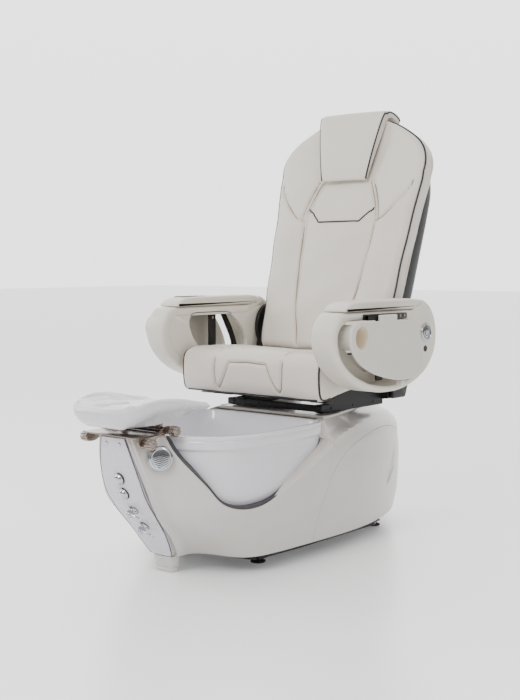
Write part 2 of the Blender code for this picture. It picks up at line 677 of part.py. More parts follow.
def make_footrest_pad():
    """A wedge-shaped moulding: thick at the toes, thin at the tip over the basin, on a hinge bar."""
    top_half = [(0.050, -0.966), (0.098, -0.955), (0.124, -0.925), (0.136, -0.860), (0.146, -0.760), (0.150, -0.680),
                (0.128, -0.652), (0.060, -0.668)]
    shoulder = [(0.050, -0.964), (0.100, -0.954), (0.128, -0.922), (0.139, -0.860), (0.148, -0.760), (0.152, -0.678),
                (0.129, -0.648), (0.060, -0.664)]
    low_half = [(0.050, -0.940), (0.088, -0.932), (0.110, -0.908), (0.118, -0.850), (0.132, -0.760), (0.144, -0.682),
                (0.125, -0.656), (0.060, -0.672)]

    def level(half, front_z, rear_z, hump=0.0):
        points = []
        for x, y in whole_outline(half):
            t = (y + 0.965) / 0.315
            points.append((x, y, front_z + (rear_z - front_z) * t + hump * math.sin(math.pi * min(1.0, t * 1.6 + 0.05))))
        return points

    pad = loft([level(low_half, 0.4575, 0.4985), level(shoulder, 0.500, 0.5035), level(top_half, 0.515, 0.507, 0.012)])
    y, z = FOOTREST_TILT_AXIS
    bar = rod((-0.102, y, z), (0.102, y, z), 0.009, 10)
    lugs = [box((sign * 0.07 - 0.01, y - 0.012, z), (sign * 0.07 + 0.01, y + 0.012, 0.492)) for sign in (1.0, -1.0)]
    node("footrest_pad", join(pad, bar, *lugs), WHITE, "footrest")


# ---------------------------------------------------------------- seat
RECLINE_Z = 0.4760
RECLINE_X = 0.014
PAN_LOW = RAIL_TOP + 0.0010


def make_rails():
    rail = prism("XZ", [(0.160, DECK_TOP + GAP), (0.192, DECK_TOP + GAP), (0.192, RAIL_TOP), (0.186, RAIL_TOP),
                        (0.186, 0.439), (0.166, 0.439), (0.166, RAIL_TOP), (0.160, RAIL_TOP)], -0.165, 0.175)
    pair("seat_rail", rail, BLACK_METAL, "base")
    bar = box((-0.197, -0.184, 0.4385), (0.197, -0.1655, RAIL_TOP))
    node("rail_crossbar", bar, BLACK_METAL, "base")


def make_seat_frame():
    """Two side members with ears for the back's pivot, joined by cross members, on runners in the rails."""
    members = []
    for sign in (1.0, -1.0):
        inner, outer = sorted((sign * 0.205, sign * 0.262))
        side = [(-0.250, 0.4785), (-0.155, PAN_LOW + 0.004), (0.150, PAN_LOW + 0.004), (0.150, 0.5110),
                (-0.140, 0.5110)]
        members.append(prism("YZ", side, inner, outer))
        runner = sorted((sign * 0.1675, sign * 0.1845))
        members.append(box((runner[0], -0.105, 0.4400), (runner[1], 0.150, 0.4920)))
        ear = sorted((sign * 0.2340, sign * 0.2400))
        py, pz = BACK_PIVOT.y, BACK_PIVOT.z
        lug = [(py - 0.024, 0.500), (py + 0.024, 0.500)] + circle_arc((py, pz), 0.024, 0.0, math.pi, 6)
        members.append(prism("YZ", lug, ear[0], ear[1]))
        brace = sorted((sign * 0.255, sign * 0.2862))
        members.append(box((brace[0], 0.060, 0.4680), (brace[1], 0.145, 0.4980)))
    front = box((-0.22, -0.160, PAN_LOW + 0.006), (0.22, -0.125, 0.4980))
    rear = box((-0.22, 0.040, PAN_LOW + 0.028), (0.22, 0.062, 0.5110))
    frame = join(front, rear, *members)
    cut(frame, rod((-0.3, BACK_PIVOT.y, BACK_PIVOT.z), (0.3, BACK_PIVOT.y, BACK_PIVOT.z), 0.0088, 14))
    node("seat_frame", frame, BLACK_METAL, "seat")


def circle_arc(centre, radius, start, end, steps):
    return [
        (centre[0] + radius * math.cos(start + (end - start) * k / steps),
         centre[1] + radius * math.sin(start + (end - start) * k / steps))
        for k in range(steps + 1)
    ]


def make_seat_cushion():
    """A box cushion with a rounded front, drawn as a side profile swept across the seat."""
    profile = [(-0.290, 0.4880), (-0.304, 0.5000), (-0.312, 0.5500), (-0.312, 0.6020), (-0.298, 0.6240),
               (-0.250, 0.6310), (-0.100, 0.6300), (0.020, 0.6180), (SEAT_REAR, 0.6000), (SEAT_REAR, 0.5140),
               (-0.140, 0.5140)]
    middle = (-0.13, 0.565)

    def section(x, shrink):
        return [(x, middle[0] + (y - middle[0]) * shrink, middle[1] + (z - middle[1]) * shrink) for y, z in profile]

    steps = [(-SEAT_HALF_WIDTH, 0.955), (-SEAT_HALF_WIDTH + 0.008, 0.99), (-0.20, 1.0), (0.20, 1.0),
             (SEAT_HALF_WIDTH - 0.008, 0.99), (SEAT_HALF_WIDTH, 0.955)]
    node("seat_cushion", loft([section(x, shrink) for x, shrink in steps]), LEATHER, "seat")


def make_arm_mounts():
    """Black plates that stand outside the seat and carry the arms' pivots."""
    head = circle_arc((ARM_PIVOT[0] - 0.004, ARM_PIVOT[1]), 0.092, math.radians(-40.0), math.radians(215.0), 10)
    outline = head + [(0.052, 0.560), (0.058, 0.468), (0.150, 0.468), (0.172, 0.560)]
    plate = prism("YZ", outline, 0.2868, 0.3000)
    boss = rod((0.2990, *ARM_PIVOT), (0.3035, *ARM_PIVOT), 0.030, 16)
    pair("arm_mount", join(plate, boss), BLACK_METAL, "seat")


def make_recline_actuator():
    """An electric push rod: its fixed tube and motor lie in the seat frame, and its rod draws the crank."""
    tube = turned([(0.0125, 0.0), (0.0125, 0.125), (0.0078, 0.125), (0.0078, 0.0)],
                  (RECLINE_X, -0.1247, RECLINE_Z), (0, 1, 0), 12)
    motor = box((0.030, -0.118, 0.4645), (0.066, -0.070, 0.4965))
    bridge = box((RECLINE_X + 0.009, -0.112, 0.470), (0.040, -0.080, 0.482))
    node("recline_actuator", join(tube, motor, bridge), BLACK_PLASTIC, "seat")
    rod_end = BACK_PIVOT.y + CRANK_LENGTH * math.sin(math.radians(17.5))
    node("recline_rod", rod((RECLINE_X, -0.060, RECLINE_Z), (RECLINE_X, rod_end, RECLINE_Z), 0.0065, 10), STEEL,
         "recline_rod")


# ---------------------------------------------------------------- back
RAIL_DEPTH = 0.098
BEAM_DEPTH = 0.121
ROLLER_DEPTH = 0.0845
ROLLER_X = 0.075
ROLLER_R = 0.024
CARRIAGE_S = -0.17
BACK_BOTTOM_S = -0.518
BACK_ARCH_S = 0.140
BACK_ARCH_HEIGHT = 0.180
BACK_MIDDLE_S = -0.100
BACK_ARCH_HALF_WIDTH = 0.304


def back_outline(steps):
    """The cushion's half outline, as (x, s), from the bottom up its side and over the arch."""
    side = [(0.240, BACK_BOTTOM_S), (0.256, -0.480), (0.270, -0.330), (0.279, -0.150), (0.292, 0.010)]
    arch = [
        (BACK_ARCH_HALF_WIDTH * math.cos(angle), BACK_ARCH_S + BACK_ARCH_HEIGHT * math.sin(angle))
        for angle in (math.pi / 2 * k / steps for k in range(steps))
    ]
    return side + arch


def back_ring(half, inset, depth):
    """A closed ring across the back, drawn in towards the back's middle by about the inset."""
    across, along = 1.0 - inset / 0.29, 1.0 - inset / 0.42
    outline = list(half) + [(-x, s) for x, s in reversed(half)]
    return [back_point(x * across, BACK_MIDDLE_S + (s - BACK_MIDDLE_S) * along, depth) for x, s in outline]


def make_back_cushion():
    half = back_outline(6) + [(0.04, BACK_ARCH_S + BACK_ARCH_HEIGHT * 0.995)]
    steps = [(0.075, -0.012), (0.022, -0.006), (0.0, 0.004), (0.0, BACK_CUSHION_DEPTH - 0.004),
             (0.004, BACK_CUSHION_DEPTH)]
    node("back_cushion", loft([back_ring(half, inset, depth) for inset, depth in steps]), LEATHER, "back")


def make_head_pillow():
    """A wedge pad that hangs over the top of the back, wider and thicker at its top."""
    profile = [(0.086, -0.0165), (0.092, -0.0290), (0.180, -0.0460), (0.285, -0.0520), (0.322, -0.0420),
               (0.336, -0.0120), (0.334, 0.0450), (0.328, 0.0580), (0.3235, 0.0480), (0.3225, -0.0060),
               (0.312, -0.0160), (0.200, -0.0165)]

    def section(share):
        points = []
        for s, depth in profile:
            half = 0.093 + (0.135 - 0.093) * (s - 0.086) / 0.25
            points.append(back_point(share * half, s, depth))
        return points

    node("head_pillow", loft([section(share) for share in (-1.0, -0.8, 0.8, 1.0)]), LEATHER, "back")


def make_back_shell():
    """A black moulded shell behind the cushion, hollow and open towards it."""
    half = [(0.225, -0.470), (0.262, -0.400), (0.268, -0.200), (0.276, 0.000), (0.262, 0.120), (0.190, 0.215),
            (0.080, 0.250)]
    start = BACK_CUSHION_DEPTH + GAP
    steps = [(0.0, start), (0.002, 0.085), (0.022, 0.128), (0.060, 0.142), (0.062, 0.139), (0.026, 0.124),
             (0.006, 0.083), (0.0045, start)]
    rings = [back_ring(half, inset, depth) for inset, depth in steps]
    shell = loft_shell(rings, 3)
    below = [[back_point(x, s, depth) for x, s in ((-0.3, -0.60), (0.3, -0.60), (0.3, -0.435), (-0.3, -0.435))]
             for depth in (0.03, 0.20)]
    cut(shell, loft(below))
    node("back_shell", shell, BLACK_PLASTIC, "back")


def loft_shell(rings, turn_index):
    """An open-topped cup: the outer rings are capped at turn_index and the inner ones just after it."""
    build = bmesh.new()
    rows = [[build.verts.new(point) for point in ring] for ring in rings]
    count = len(rows[0])
    for k, (low, high) in enumerate(zip(rows, rows[1:])):
        if k == turn_index:
            continue
        for i in range(count):
            j = (i + 1) % count
            build.faces.new((low[i], low[j], high[j], high[i]))
    for i in range(count):
        j = (i + 1) % count
        build.faces.new((rows[-1][i], rows[-1][j], rows[0][j], rows[0][i]))
    build.faces.new(rows[turn_index])
    build.faces.new(rows[turn_index + 1])
    return as_object(build)


def make_back_frame():
    """A tube frame on the pivot, with the crank that the push rod draws."""
    depth = BACK_PIVOT_DEPTH
    tubes = []
    for sign in (1.0, -1.0):
        tubes.append(rod(back_point(sign * 0.218, BACK_PIVOT_S, depth), back_point(sign * 0.218, 0.120, depth), 0.011, 8))
        pin_start, pin_end = back_point(sign * 0.210, BACK_PIVOT_S, depth), back_point(sign * 0.2425, BACK_PIVOT_S, depth)
        tubes.append(rod(pin_start, pin_end, 0.0080, 12))
    for s in (-0.40, 0.110):
        tubes.append(rod(back_point(-0.220, s, depth), back_point(0.220, s, depth), 0.0105, 8))
    torque_tube = rod(back_point(-0.222, BACK_PIVOT_S, depth), back_point(0.222, BACK_PIVOT_S, depth), 0.012, 12)
    py, pz = BACK_PIVOT.y, BACK_PIVOT.z
    tip = (py + CRANK_LENGTH * math.sin(math.radians(17.5)), pz - CRANK_LENGTH * math.cos(math.radians(17.5)))
    side = Vector((math.cos(math.radians(17.5)), math.sin(math.radians(17.5)))) * 0.010
    outline = [(py - side.x, pz - side.y), (tip[0] - side.x, tip[1] - side.y), (tip[0] + side.x, tip[1] + side.y),
               (py + side.x, pz + side.y)]
    crank = prism("YZ", outline, -0.004, 0.004)
    node("back_frame", join(torque_tube, crank, *tubes), BLACK_METAL, "back")


def make_massage():
    """Two guide rails on cross bars, a carriage on them, and a kneading roller on each side of it."""
    parts = []
    for sign in (1.0, -1.0):
        parts.append(rod(back_point(sign * 0.130, -0.42, RAIL_DEPTH), back_point(sign * 0.130, 0.13, RAIL_DEPTH), 0.006, 8))
    for s in (-0.40, 0.110):
        parts.append(rod(back_point(-0.134, s, RAIL_DEPTH + 0.001), back_point(0.134, s, RAIL_DEPTH + 0.001), 0.007, 8))
    node("massage_rails", join(*parts), STEEL, "back")
    carriage = []
    for sign in (1.0, -1.0):
        centre = back_point(sign * 0.130, CARRIAGE_S, RAIL_DEPTH)
        carriage.append(turned([(0.0064, -0.022), (0.0064, 0.022), (0.0165, 0.022), (0.0165, -0.022)],
                               centre, BACK_UP, 12))
    beam = rod(back_point(-0.132, CARRIAGE_S, BEAM_DEPTH), back_point(0.132, CARRIAGE_S, BEAM_DEPTH), 0.007, 8)
    arms = []
    for sign in (1.0, -1.0):
        x = sign * (ROLLER_X - 0.019)
        low, high = sorted((x, x + sign * 0.004))
        rings = []
        for s, depth in ((-0.008, BEAM_DEPTH), (0.008, BEAM_DEPTH), (0.008, 0.074), (-0.008, 0.074)):
            rings.append((CARRIAGE_S + s, depth))
        arms.append(loft([[back_point(level, s, depth) for s, depth in rings] for level in (low, high)]))
        start = back_point(x + sign * 0.002, CARRIAGE_S, ROLLER_DEPTH)
        arms.append(rod(start, back_point(x + sign * 0.034, CARRIAGE_S, ROLLER_DEPTH), 0.005, 10))
    node("massage_carriage", join(beam, *carriage, *arms), BLACK_METAL, "massage_carriage")
    start = back_point(ROLLER_X - 0.012, CARRIAGE_S, ROLLER_DEPTH)
    roller = turned([(0.0056, 0.0), (0.0056, 0.024), (0.017, 0.024), (ROLLER_R, 0.016), (ROLLER_R, 0.008), (0.017, 0.0)],
                    start, (1, 0, 0), 14)
    pair("massage_roller", roller, RUBBER, "massage_roller_{}")


# ---------------------------------------------------------------- arms and trays
# The arm's outline from the top of its nose, down and back along the bottom, as (y, z).
ARM_OUTLINE = [(-0.300, 0.7960), (-0.345, 0.772), (-0.378, 0.728), (-0.388, 0.685), (-0.374, 0.637), (-0.335, 0.590),
               (-0.280, 0.553), (-0.200, 0.524), (-0.110, 0.511), (-0.020, 0.511), (0.065, 0.528), (0.140, 0.563),
               (0.190, 0.620), (0.203, 0.675), (0.192, 0.730), (0.160, 0.772), (0.118, 0.7930), (0.060, 0.7970)]
POCKET_FLOOR = 0.3240
POCKET = [(-0.310, 0.7420), (-0.340, 0.728), (-0.362, 0.700), (-0.354, 0.645), (-0.318, 0.602), (-0.265, 0.569),
          (-0.190, 0.542), (-0.105, 0.530), (-0.015, 0.531), (0.040, 0.545), (0.052, 0.600), (0.045, 0.680),
          (0.015, 0.7420)]
WINDOW = [(-0.245, 0.742), (-0.055, 0.742), (0.004, 0.700), (0.045, 0.650), (0.035, 0.580), (-0.120, 0.566),
          (-0.185, 0.600), (-0.245, 0.665), (-0.262, 0.715)]
LID = [(-0.312, 0.7655), (-0.300, 0.7655), (0.1030, 0.7655), (0.1030, 0.7960), (0.080, 0.8000), (-0.285, 0.7960),
       (-0.312, 0.7840)]
TRAY_OUTLINE = [(-0.042, 0.738), (-0.318, 0.738), (-0.342, 0.718), (-0.349, 0.690), (-0.337, 0.655), (-0.305, 0.620),
                (-0.262, 0.595), (-0.205, 0.574), (-0.140, 0.558), (-0.080, 0.549), (-0.020, 0.549), (0.030, 0.563),
                (0.056, 0.592), (0.054, 0.625), (0.036, 0.665), (0.010, 0.705), (-0.012, 0.728)]
# The tray hinge's post and curved brace, which stand in the pocket, as (y, z).
HINGE_LOW = 0.7365
HINGE_BAR_X = 0.350
HINGE_POST = [(-0.108, 0.545), (-0.073, 0.545), (-0.073, 0.738), (-0.108, 0.738)]
HINGE_BRACE = [(-0.046, 0.738), (-0.022, 0.738), (0.010, 0.690), (0.030, 0.650), (0.040, 0.622), (0.040, 0.575),
               (0.016, 0.575), (0.016, 0.622), (0.003, 0.655), (-0.018, 0.690)]


def make_arm():
    inner_edge, outer_edge = 0.010, 0.014
    rings = []
    for x, inset in ((ARM_INNER, 0.009), (ARM_INNER + inner_edge, 0.0), (ARM_OUTER - outer_edge, 0.0),
                     (ARM_OUTER, 0.012)):
        rings.append([(x, y, z) for y, z in grown(ARM_OUTLINE, -inset)])
    arm = loft(rings)
    top = box((0.29, -0.45, 0.7650), (0.41, 0.1040, 0.83))
    cut(arm, top)
    cut(arm, prism("YZ", POCKET, POCKET_FLOOR, 0.42))
    cut(arm, prism("YZ", WINDOW, 0.29, POCKET_FLOOR + 0.01))
    pair("arm_shell", arm, IVORY, "arm_{}")
    lid = loft([[(x, y, z) for y, z in grown(LID, -inset)] for x, inset in
                ((ARM_INNER + 0.001, 0.004), (ARM_INNER + 0.007, 0.0), (ARM_OUTER - 0.012, 0.0), (ARM_OUTER - 0.004, 0.006))])
    pair("arm_lid", lid, IVORY, "arm_{}")
    disc = turned([(0.0, 0.0), (0.031, 0.0), (0.031, 0.003), (0.027, 0.006), (0.0, 0.0065)],
                  (ARM_OUTER + GAP, *ARM_PIVOT), (1, 0, 0), 20)
    pair("arm_cap", disc, CHROME, "arm_{}")
    hinge = box((ARM_OUTER + GAP, -0.2350, HINGE_LOW), (0.4125, -0.0200, 0.7590))
    ledge = box((HINGE_BAR_X, -0.1080, HINGE_LOW), (0.4000, -0.0200, 0.7413))
    bars = [prism("YZ", outline, HINGE_BAR_X, HINGE_BAR_X + 0.006) for outline in (HINGE_POST, HINGE_BRACE)]
    pair("tray_hinge", join(hinge, ledge, *bars), BLACK_METAL, "arm_{}")


def make_tray():
    rings = []
    for x, inset in ((TRAY_INNER, 0.003), (TRAY_INNER + 0.003, 0.0), (TRAY_OUTER - 0.003, 0.0), (TRAY_OUTER, 0.003)):
        rings.append([(x, y, z) for y, z in grown(TRAY_OUTLINE, -inset)])
    tray = loft(rings)
    lug = box((TRAY_INNER + 0.0005, -0.190, 0.730), (TRAY_OUTER - 0.0005, -0.100, 0.7575))
    cup = rod((TRAY_INNER - CUP_DEPTH, *CUP_CENTRE), (TRAY_INNER + 0.002, *CUP_CENTRE), CUP_BORE_R + CUP_WALL, 24)
    join(tray, lug, cup)
    bore = rod((TRAY_INNER - CUP_DEPTH + CUP_WALL, *CUP_CENTRE), (TRAY_OUTER + 0.01, *CUP_CENTRE), CUP_BORE_R, 24)
    pair("tray", cut(tray, bore), TRAY, "tray_{}")


# ---------------------------------------------------------------- the whole chair


def main():
    make_bodies()
    make_shell()
    make_deck()
    make_basin()
    make_front_panel()
    make_buttons()
    make_handles()
    make_valve_body()
    make_spray()
    make_plinth()
    make_drain()
    make_jet()
    make_footrest()
    make_rails()
    make_seat_frame()
    make_seat_cushion()
    make_arm_mounts()
    make_recline_actuator()
    make_back_cushion()
    make_head_pillow()
    make_back_shell()
    make_back_frame()
    make_massage()
    make_arm()
    make_tray()


main()
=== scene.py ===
"""The looks of the pedicure spa chair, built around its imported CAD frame.

Shapes are drawn in the chair's own layout, as in the part, and moved to the frame's place as they are made.
"""

import math

import bmesh
import bpy
import numpy as np
from mathutils import Matrix, Vector
from mathutils.bvhtree import BVHTree


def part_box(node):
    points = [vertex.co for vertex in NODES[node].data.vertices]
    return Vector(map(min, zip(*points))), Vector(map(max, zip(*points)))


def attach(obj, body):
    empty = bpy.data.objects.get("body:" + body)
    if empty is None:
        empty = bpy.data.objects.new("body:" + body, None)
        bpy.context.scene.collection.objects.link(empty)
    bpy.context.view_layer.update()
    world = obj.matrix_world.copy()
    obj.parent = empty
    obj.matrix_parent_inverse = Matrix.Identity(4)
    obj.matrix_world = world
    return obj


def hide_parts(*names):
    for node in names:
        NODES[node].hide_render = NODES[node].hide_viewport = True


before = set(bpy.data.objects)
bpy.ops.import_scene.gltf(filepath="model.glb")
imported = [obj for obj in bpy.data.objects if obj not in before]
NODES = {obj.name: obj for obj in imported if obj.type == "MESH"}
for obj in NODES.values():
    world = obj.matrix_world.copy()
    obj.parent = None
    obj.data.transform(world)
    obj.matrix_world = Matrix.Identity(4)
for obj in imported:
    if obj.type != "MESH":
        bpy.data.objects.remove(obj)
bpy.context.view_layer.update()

RAIL_REAR_IN_LAYOUT = -0.165
SHIFT = np.array((0.0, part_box("seat_rail_left")[0][1] - RAIL_REAR_IN_LAYOUT, 0.0))

# ---------------------------------------------------------------- lines and grids


def bspline(points, steps):
    """A smooth closed line drawn by a polygon; steps is the number of samples at each corner."""
    corners = [np.array(p, float) for p in points]
    count = len(corners)
    steps = [steps] * count if isinstance(steps, int) else steps
    line = []
    for i in range(count):
        here = corners[i]
        start, end = (corners[i - 1] + here) / 2, (here + corners[(i + 1) % count]) / 2
        for k in range(steps[i]):
            t = k / steps[i]
            line.append((1 - t) ** 2 * start + 2 * t * (1 - t) * here + t * t * end)
    return np.array(line)


def even(line, count, closed=False):
    """A line resampled at equal distances."""
    line = np.array(line, float)
    if closed:
        line = np.vstack([line, line[:1]])
    way = np.r_[0.0, np.cumsum(np.linalg.norm(np.diff(line, axis=0), axis=1))]
    places = np.linspace(0.0, way[-1], count + 1)[:-1] if closed else np.linspace(0.0, way[-1], count)
    return np.stack([np.interp(places, way, line[:, k]) for k in range(line.shape[1])], axis=1)


def flow(points, count):
    """Evenly spaced points of a smooth open line through the given ones."""
    p = np.array(points, float)
    p = np.vstack([2 * p[0] - p[1], p, 2 * p[-1] - p[-2]])
    fine = []
    for i in range(1, len(p) - 2):
        a, b, c, d = p[i - 1:i + 3]
        for t in np.arange(12) / 12.0:
            fine.append(0.5 * (2 * b + (c - a) * t + (2 * a - 5 * b + 4 * c - d) * t * t
                               + (3 * b - a - 3 * c + d) * t ** 3))
    fine.append(p[-2])
    return even(fine, count)


def ease(value, low, high):
    """A smooth step from 0 at low to 1 at high."""
    t = np.clip((np.asarray(value, float) - low) / (high - low), 0.0, 1.0)
    return t * t * (3 - 2 * t)


def hill(distance, width):
    """A bell of height 1 round a distance of 0."""
    return np.exp(-(np.asarray(distance) / width) ** 2)


def polar(outline, centre, angles):
    """The outline's distance from a centre at each angle."""
    offset = np.asarray(outline) - np.asarray(centre)
    found = np.arctan2(offset[:, 1], offset[:, 0])
    reach = np.hypot(offset[:, 0], offset[:, 1])
    order = np.argsort(found)
    return np.interp(angles, found[order], reach[order], period=math.tau)


def spokes(count):
    """Evenly spaced angles and the unit vectors along them."""
    angles = np.linspace(-math.pi, math.pi, count, endpoint=False)
    return angles, np.column_stack([np.cos(angles), np.sin(angles)])


def grid_faces(rows, columns, wrap_rows=False, wrap_columns=False):
    faces = []
    for r in range(rows if wrap_rows else rows - 1):
        for c in range(columns if wrap_columns else columns - 1):
            d, e = (r + 1) % rows, (c + 1) % columns
            faces.append((r * columns + c, r * columns + e, d * columns + e, d * columns + c))
    return faces


class Shape:
    """Vertices and faces in the chair's layout, gathered before they become a piece."""

    def __init__(self):
        self.points, self.faces, self.marks = [], [], []

    def add(self, points, faces, mark=0):
        start = len(self.points)
        self.points.extend(tuple(p) for p in points)
        self.faces.extend(tuple(start + i for i in face) for face in faces)
        self.marks.extend([mark] * len(faces))
        return self

    def grid(self, rows, wrap_rows=False, wrap_columns=False, mark=0):
        rows = np.asarray(rows, float)
        return self.add(rows.reshape(-1, 3), grid_faces(rows.shape[0], rows.shape[1], wrap_rows, wrap_columns), mark)

    def loft(self, rings, capped=True, mark=0):
        """Closed rings joined in order, with the first and last filled."""
        rings = np.asarray(rings, float)
        start = len(self.points)
        self.grid(rings, wrap_columns=True, mark=mark)
        if capped:
            count = rings.shape[1]
            last = start + (len(rings) - 1) * count
            self.faces.append(tuple(range(start, start + count)))
            self.faces.append(tuple(range(last, last + count)))
            self.marks.extend([mark] * 2)
        return self

    def turned(self, profile, centre, axis, sides=48, lobes=0, depth=0.0, mark=0):
        """A solid of revolution about an axis; lobes scallop it."""
        turn = Vector((0.0, 0.0, 1.0)).rotation_difference(Vector(axis).normalized()).to_matrix()
        rings = []
        for radius, height in profile:
            ring = []
            for k in range(sides):
                a = math.tau * k / sides
                r = max(radius, 1e-5) * (1.0 + depth * (abs(math.cos(a * lobes / 2)) - 1.0 if lobes else 0.0))
                ring.append(Vector(centre) + turn @ Vector((r * math.cos(a), r * math.sin(a), height)))
            rings.append([tuple(p) for p in ring])
        return self.loft(rings, mark=mark)

    def tube(self, path, radius, sides=8, closed=False, mark=0):
        path = np.asarray(path, float)
        count = len(path)
        rings = []
        up = None
        for i in range(count):
            before = path[i - 1] if (closed or i) else path[i]
            after = path[(i + 1) % count] if (closed or i < count - 1) else path[i]
            way = Vector(after - before).normalized()
            if up is None:
                up = way.orthogonal().normalized()
            up = (up - way * up.dot(way)).normalized()
            across = way.cross(up)
            rings.append([tuple(Vector(path[i]) + (up * math.cos(a) + across * math.sin(a)) * radius)
                          for a in (math.tau * k / sides for k in range(sides))])
        rings = np.asarray(rings)
        if closed:
            return self.grid(rings, wrap_rows=True, wrap_columns=True, mark=mark)
        return self.loft(rings, mark=mark)

    def block(self, low, high, edge=0.0015, mark=0):
        """A box with rounded edges."""
        cube = bmesh.new()
        bmesh.ops.create_cube(cube, size=1.0)
        low, high = Vector(low), Vector(high)
        for v in cube.verts:
            v.co = Vector([(low[k] + high[k]) / 2 + v.co[k] * (high[k] - low[k]) for k in range(3)])
        bmesh.ops.bevel(cube, geom=cube.edges[:], offset=edge, segments=2, profile=0.5, affect="EDGES")
        cube.verts.index_update()
        self.add([tuple(v.co) for v in cube.verts], [tuple(v.index for v in f.verts) for f in cube.faces], mark)
        cube.free()
        return self

    def stacked(self, outline, levels, plane="XY"):
        """An outline lofted through pairs of an inset and a level."""
        return self.loft([[on_plane(plane, a, b, level) for a, b in inward(outline, inset)]
                          for inset, level in levels])

    def plate(self, outline, low, high, edge=0.0012):
        """An outline given thickness along X, with rounded rims."""
        return self.stacked(outline, ((edge, low), (edge * 0.3, low + edge * 0.3), (0.0, low + edge),
                                      (0.0, high - edge), (edge * 0.3, high - edge * 0.3), (edge, high)), "YZ")

    def mirrored(self):
        twin = Shape()
        twin.points = [(-x, y, z) for x, y, z in self.points]
        twin.faces = [tuple(reversed(f)) for f in self.faces]
        twin.marks = list(self.marks)
        return twin


def on_plane(plane, a, b, level):
    return (level, a, b) if plane == "YZ" else (a, b, level)


def inward(outline, amount):
    """A closed outline drawn in along its normals."""
    outline = np.asarray(outline, float)
    way = np.roll(outline, -1, axis=0) - np.roll(outline, 1, axis=0)
    way /= np.maximum(np.linalg.norm(way, axis=1, keepdims=True), 1e-9)
    area = np.sum(outline[:, 0] * np.roll(outline[:, 1], -1) - np.roll(outline[:, 0], -1) * outline[:, 1])
    normal = np.stack([-way[:, 1], way[:, 0]], axis=1) * (1.0 if area > 0 else -1.0)
    return outline + normal * amount


def make_object(name, shape, materials, sharp=38.0, weld=1e-6):
    mesh = bpy.data.meshes.new(name)
    mesh.from_pydata([tuple(np.asarray(p) + SHIFT) for p in shape.points], [], shape.faces)
    materials = materials if isinstance(materials, (list, tuple)) else [materials]
    for item in materials:
        mesh.materials.append(item)
    mesh.polygons.foreach_set("material_index", shape.marks)
    build = bmesh.new()
    build.from_mesh(mesh)
    bmesh.ops.remove_doubles(build, verts=build.verts, dist=weld)
    bmesh.ops.dissolve_degenerate(build, edges=build.edges, dist=weld)
    bmesh.ops.recalc_face_normals(build, faces=build.faces)
    build.to_mesh(mesh)
    build.free()
    thing = bpy.data.objects.new(name, mesh)
    bpy.context.scene.collection.objects.link(thing)
    finish_shading(thing, sharp)
    return thing


def finish_shading(thing, sharp=38.0):
    thing.data.shade_smooth()
    thing.data.set_sharp_from_angle(angle=math.radians(sharp))


def settle(thing):
    bpy.context.view_layer.update()
    mesh = bpy.data.meshes.new_from_object(thing.evaluated_get(bpy.context.evaluated_depsgraph_get()))
    thing.modifiers.clear()
    thing.data = mesh


def boolean(thing, tool, operation):
    change = thing.modifiers.new(operation, "BOOLEAN")
    change.operation, change.object, change.solver = operation, tool, "EXACT"
    change.use_self = True
    settle(thing)
    bpy.data.objects.remove(tool, do_unlink=True)


def register(thing, body, slot, *nodes):
    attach(thing, body)
    if nodes:
        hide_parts(*nodes)
    return thing


def piece(name, shape, look, body, *nodes, sharp=38.0):
    """A piece in a named look, riding on a body and standing for CAD nodes."""
    looks = look if isinstance(look, (list, tuple)) else [look]
    thing = make_object(name, shape, [LOOKS[item] for item in looks], sharp)
    return register(thing, body, SLOT_OF[looks[0]], *nodes)


def pair(name, shape, look, body, *nodes, sharp=38.0):
    """The left piece and its mirror image; body and node names take the side in their braces."""
    for side, made in (("left", shape), ("right", shape.mirrored())):
        piece(f"{name}_{side}", made, look, body.format(side), *(n.format(side) for n in nodes), sharp=sharp)


# ---------------------------------------------------------------- materials

SLOT_OF = {
    "pearl": "pearl_shell", "bowl": "bowl_white", "panel": "panel_pearl", "ivory": "ivory_plastic",
    "cream": "ivory_plastic", "tray": "tray_plastic", "leather": "leather", "piping": "leather", "thread": "leather",
    "seam": "leather", "footrest": "footrest_white", "chrome": "chrome", "steel": "stainless",
    "black_metal": "black_metal", "black_plastic": "black_plastic", "groove": "black_plastic", "rubber": "rubber",
    "brass": "brass",
}
LOOKS = {}


def linear(value):
    value /= 255.0
    return value / 12.92 if value <= 0.04045 else ((value + 0.055) / 1.055) ** 2.4


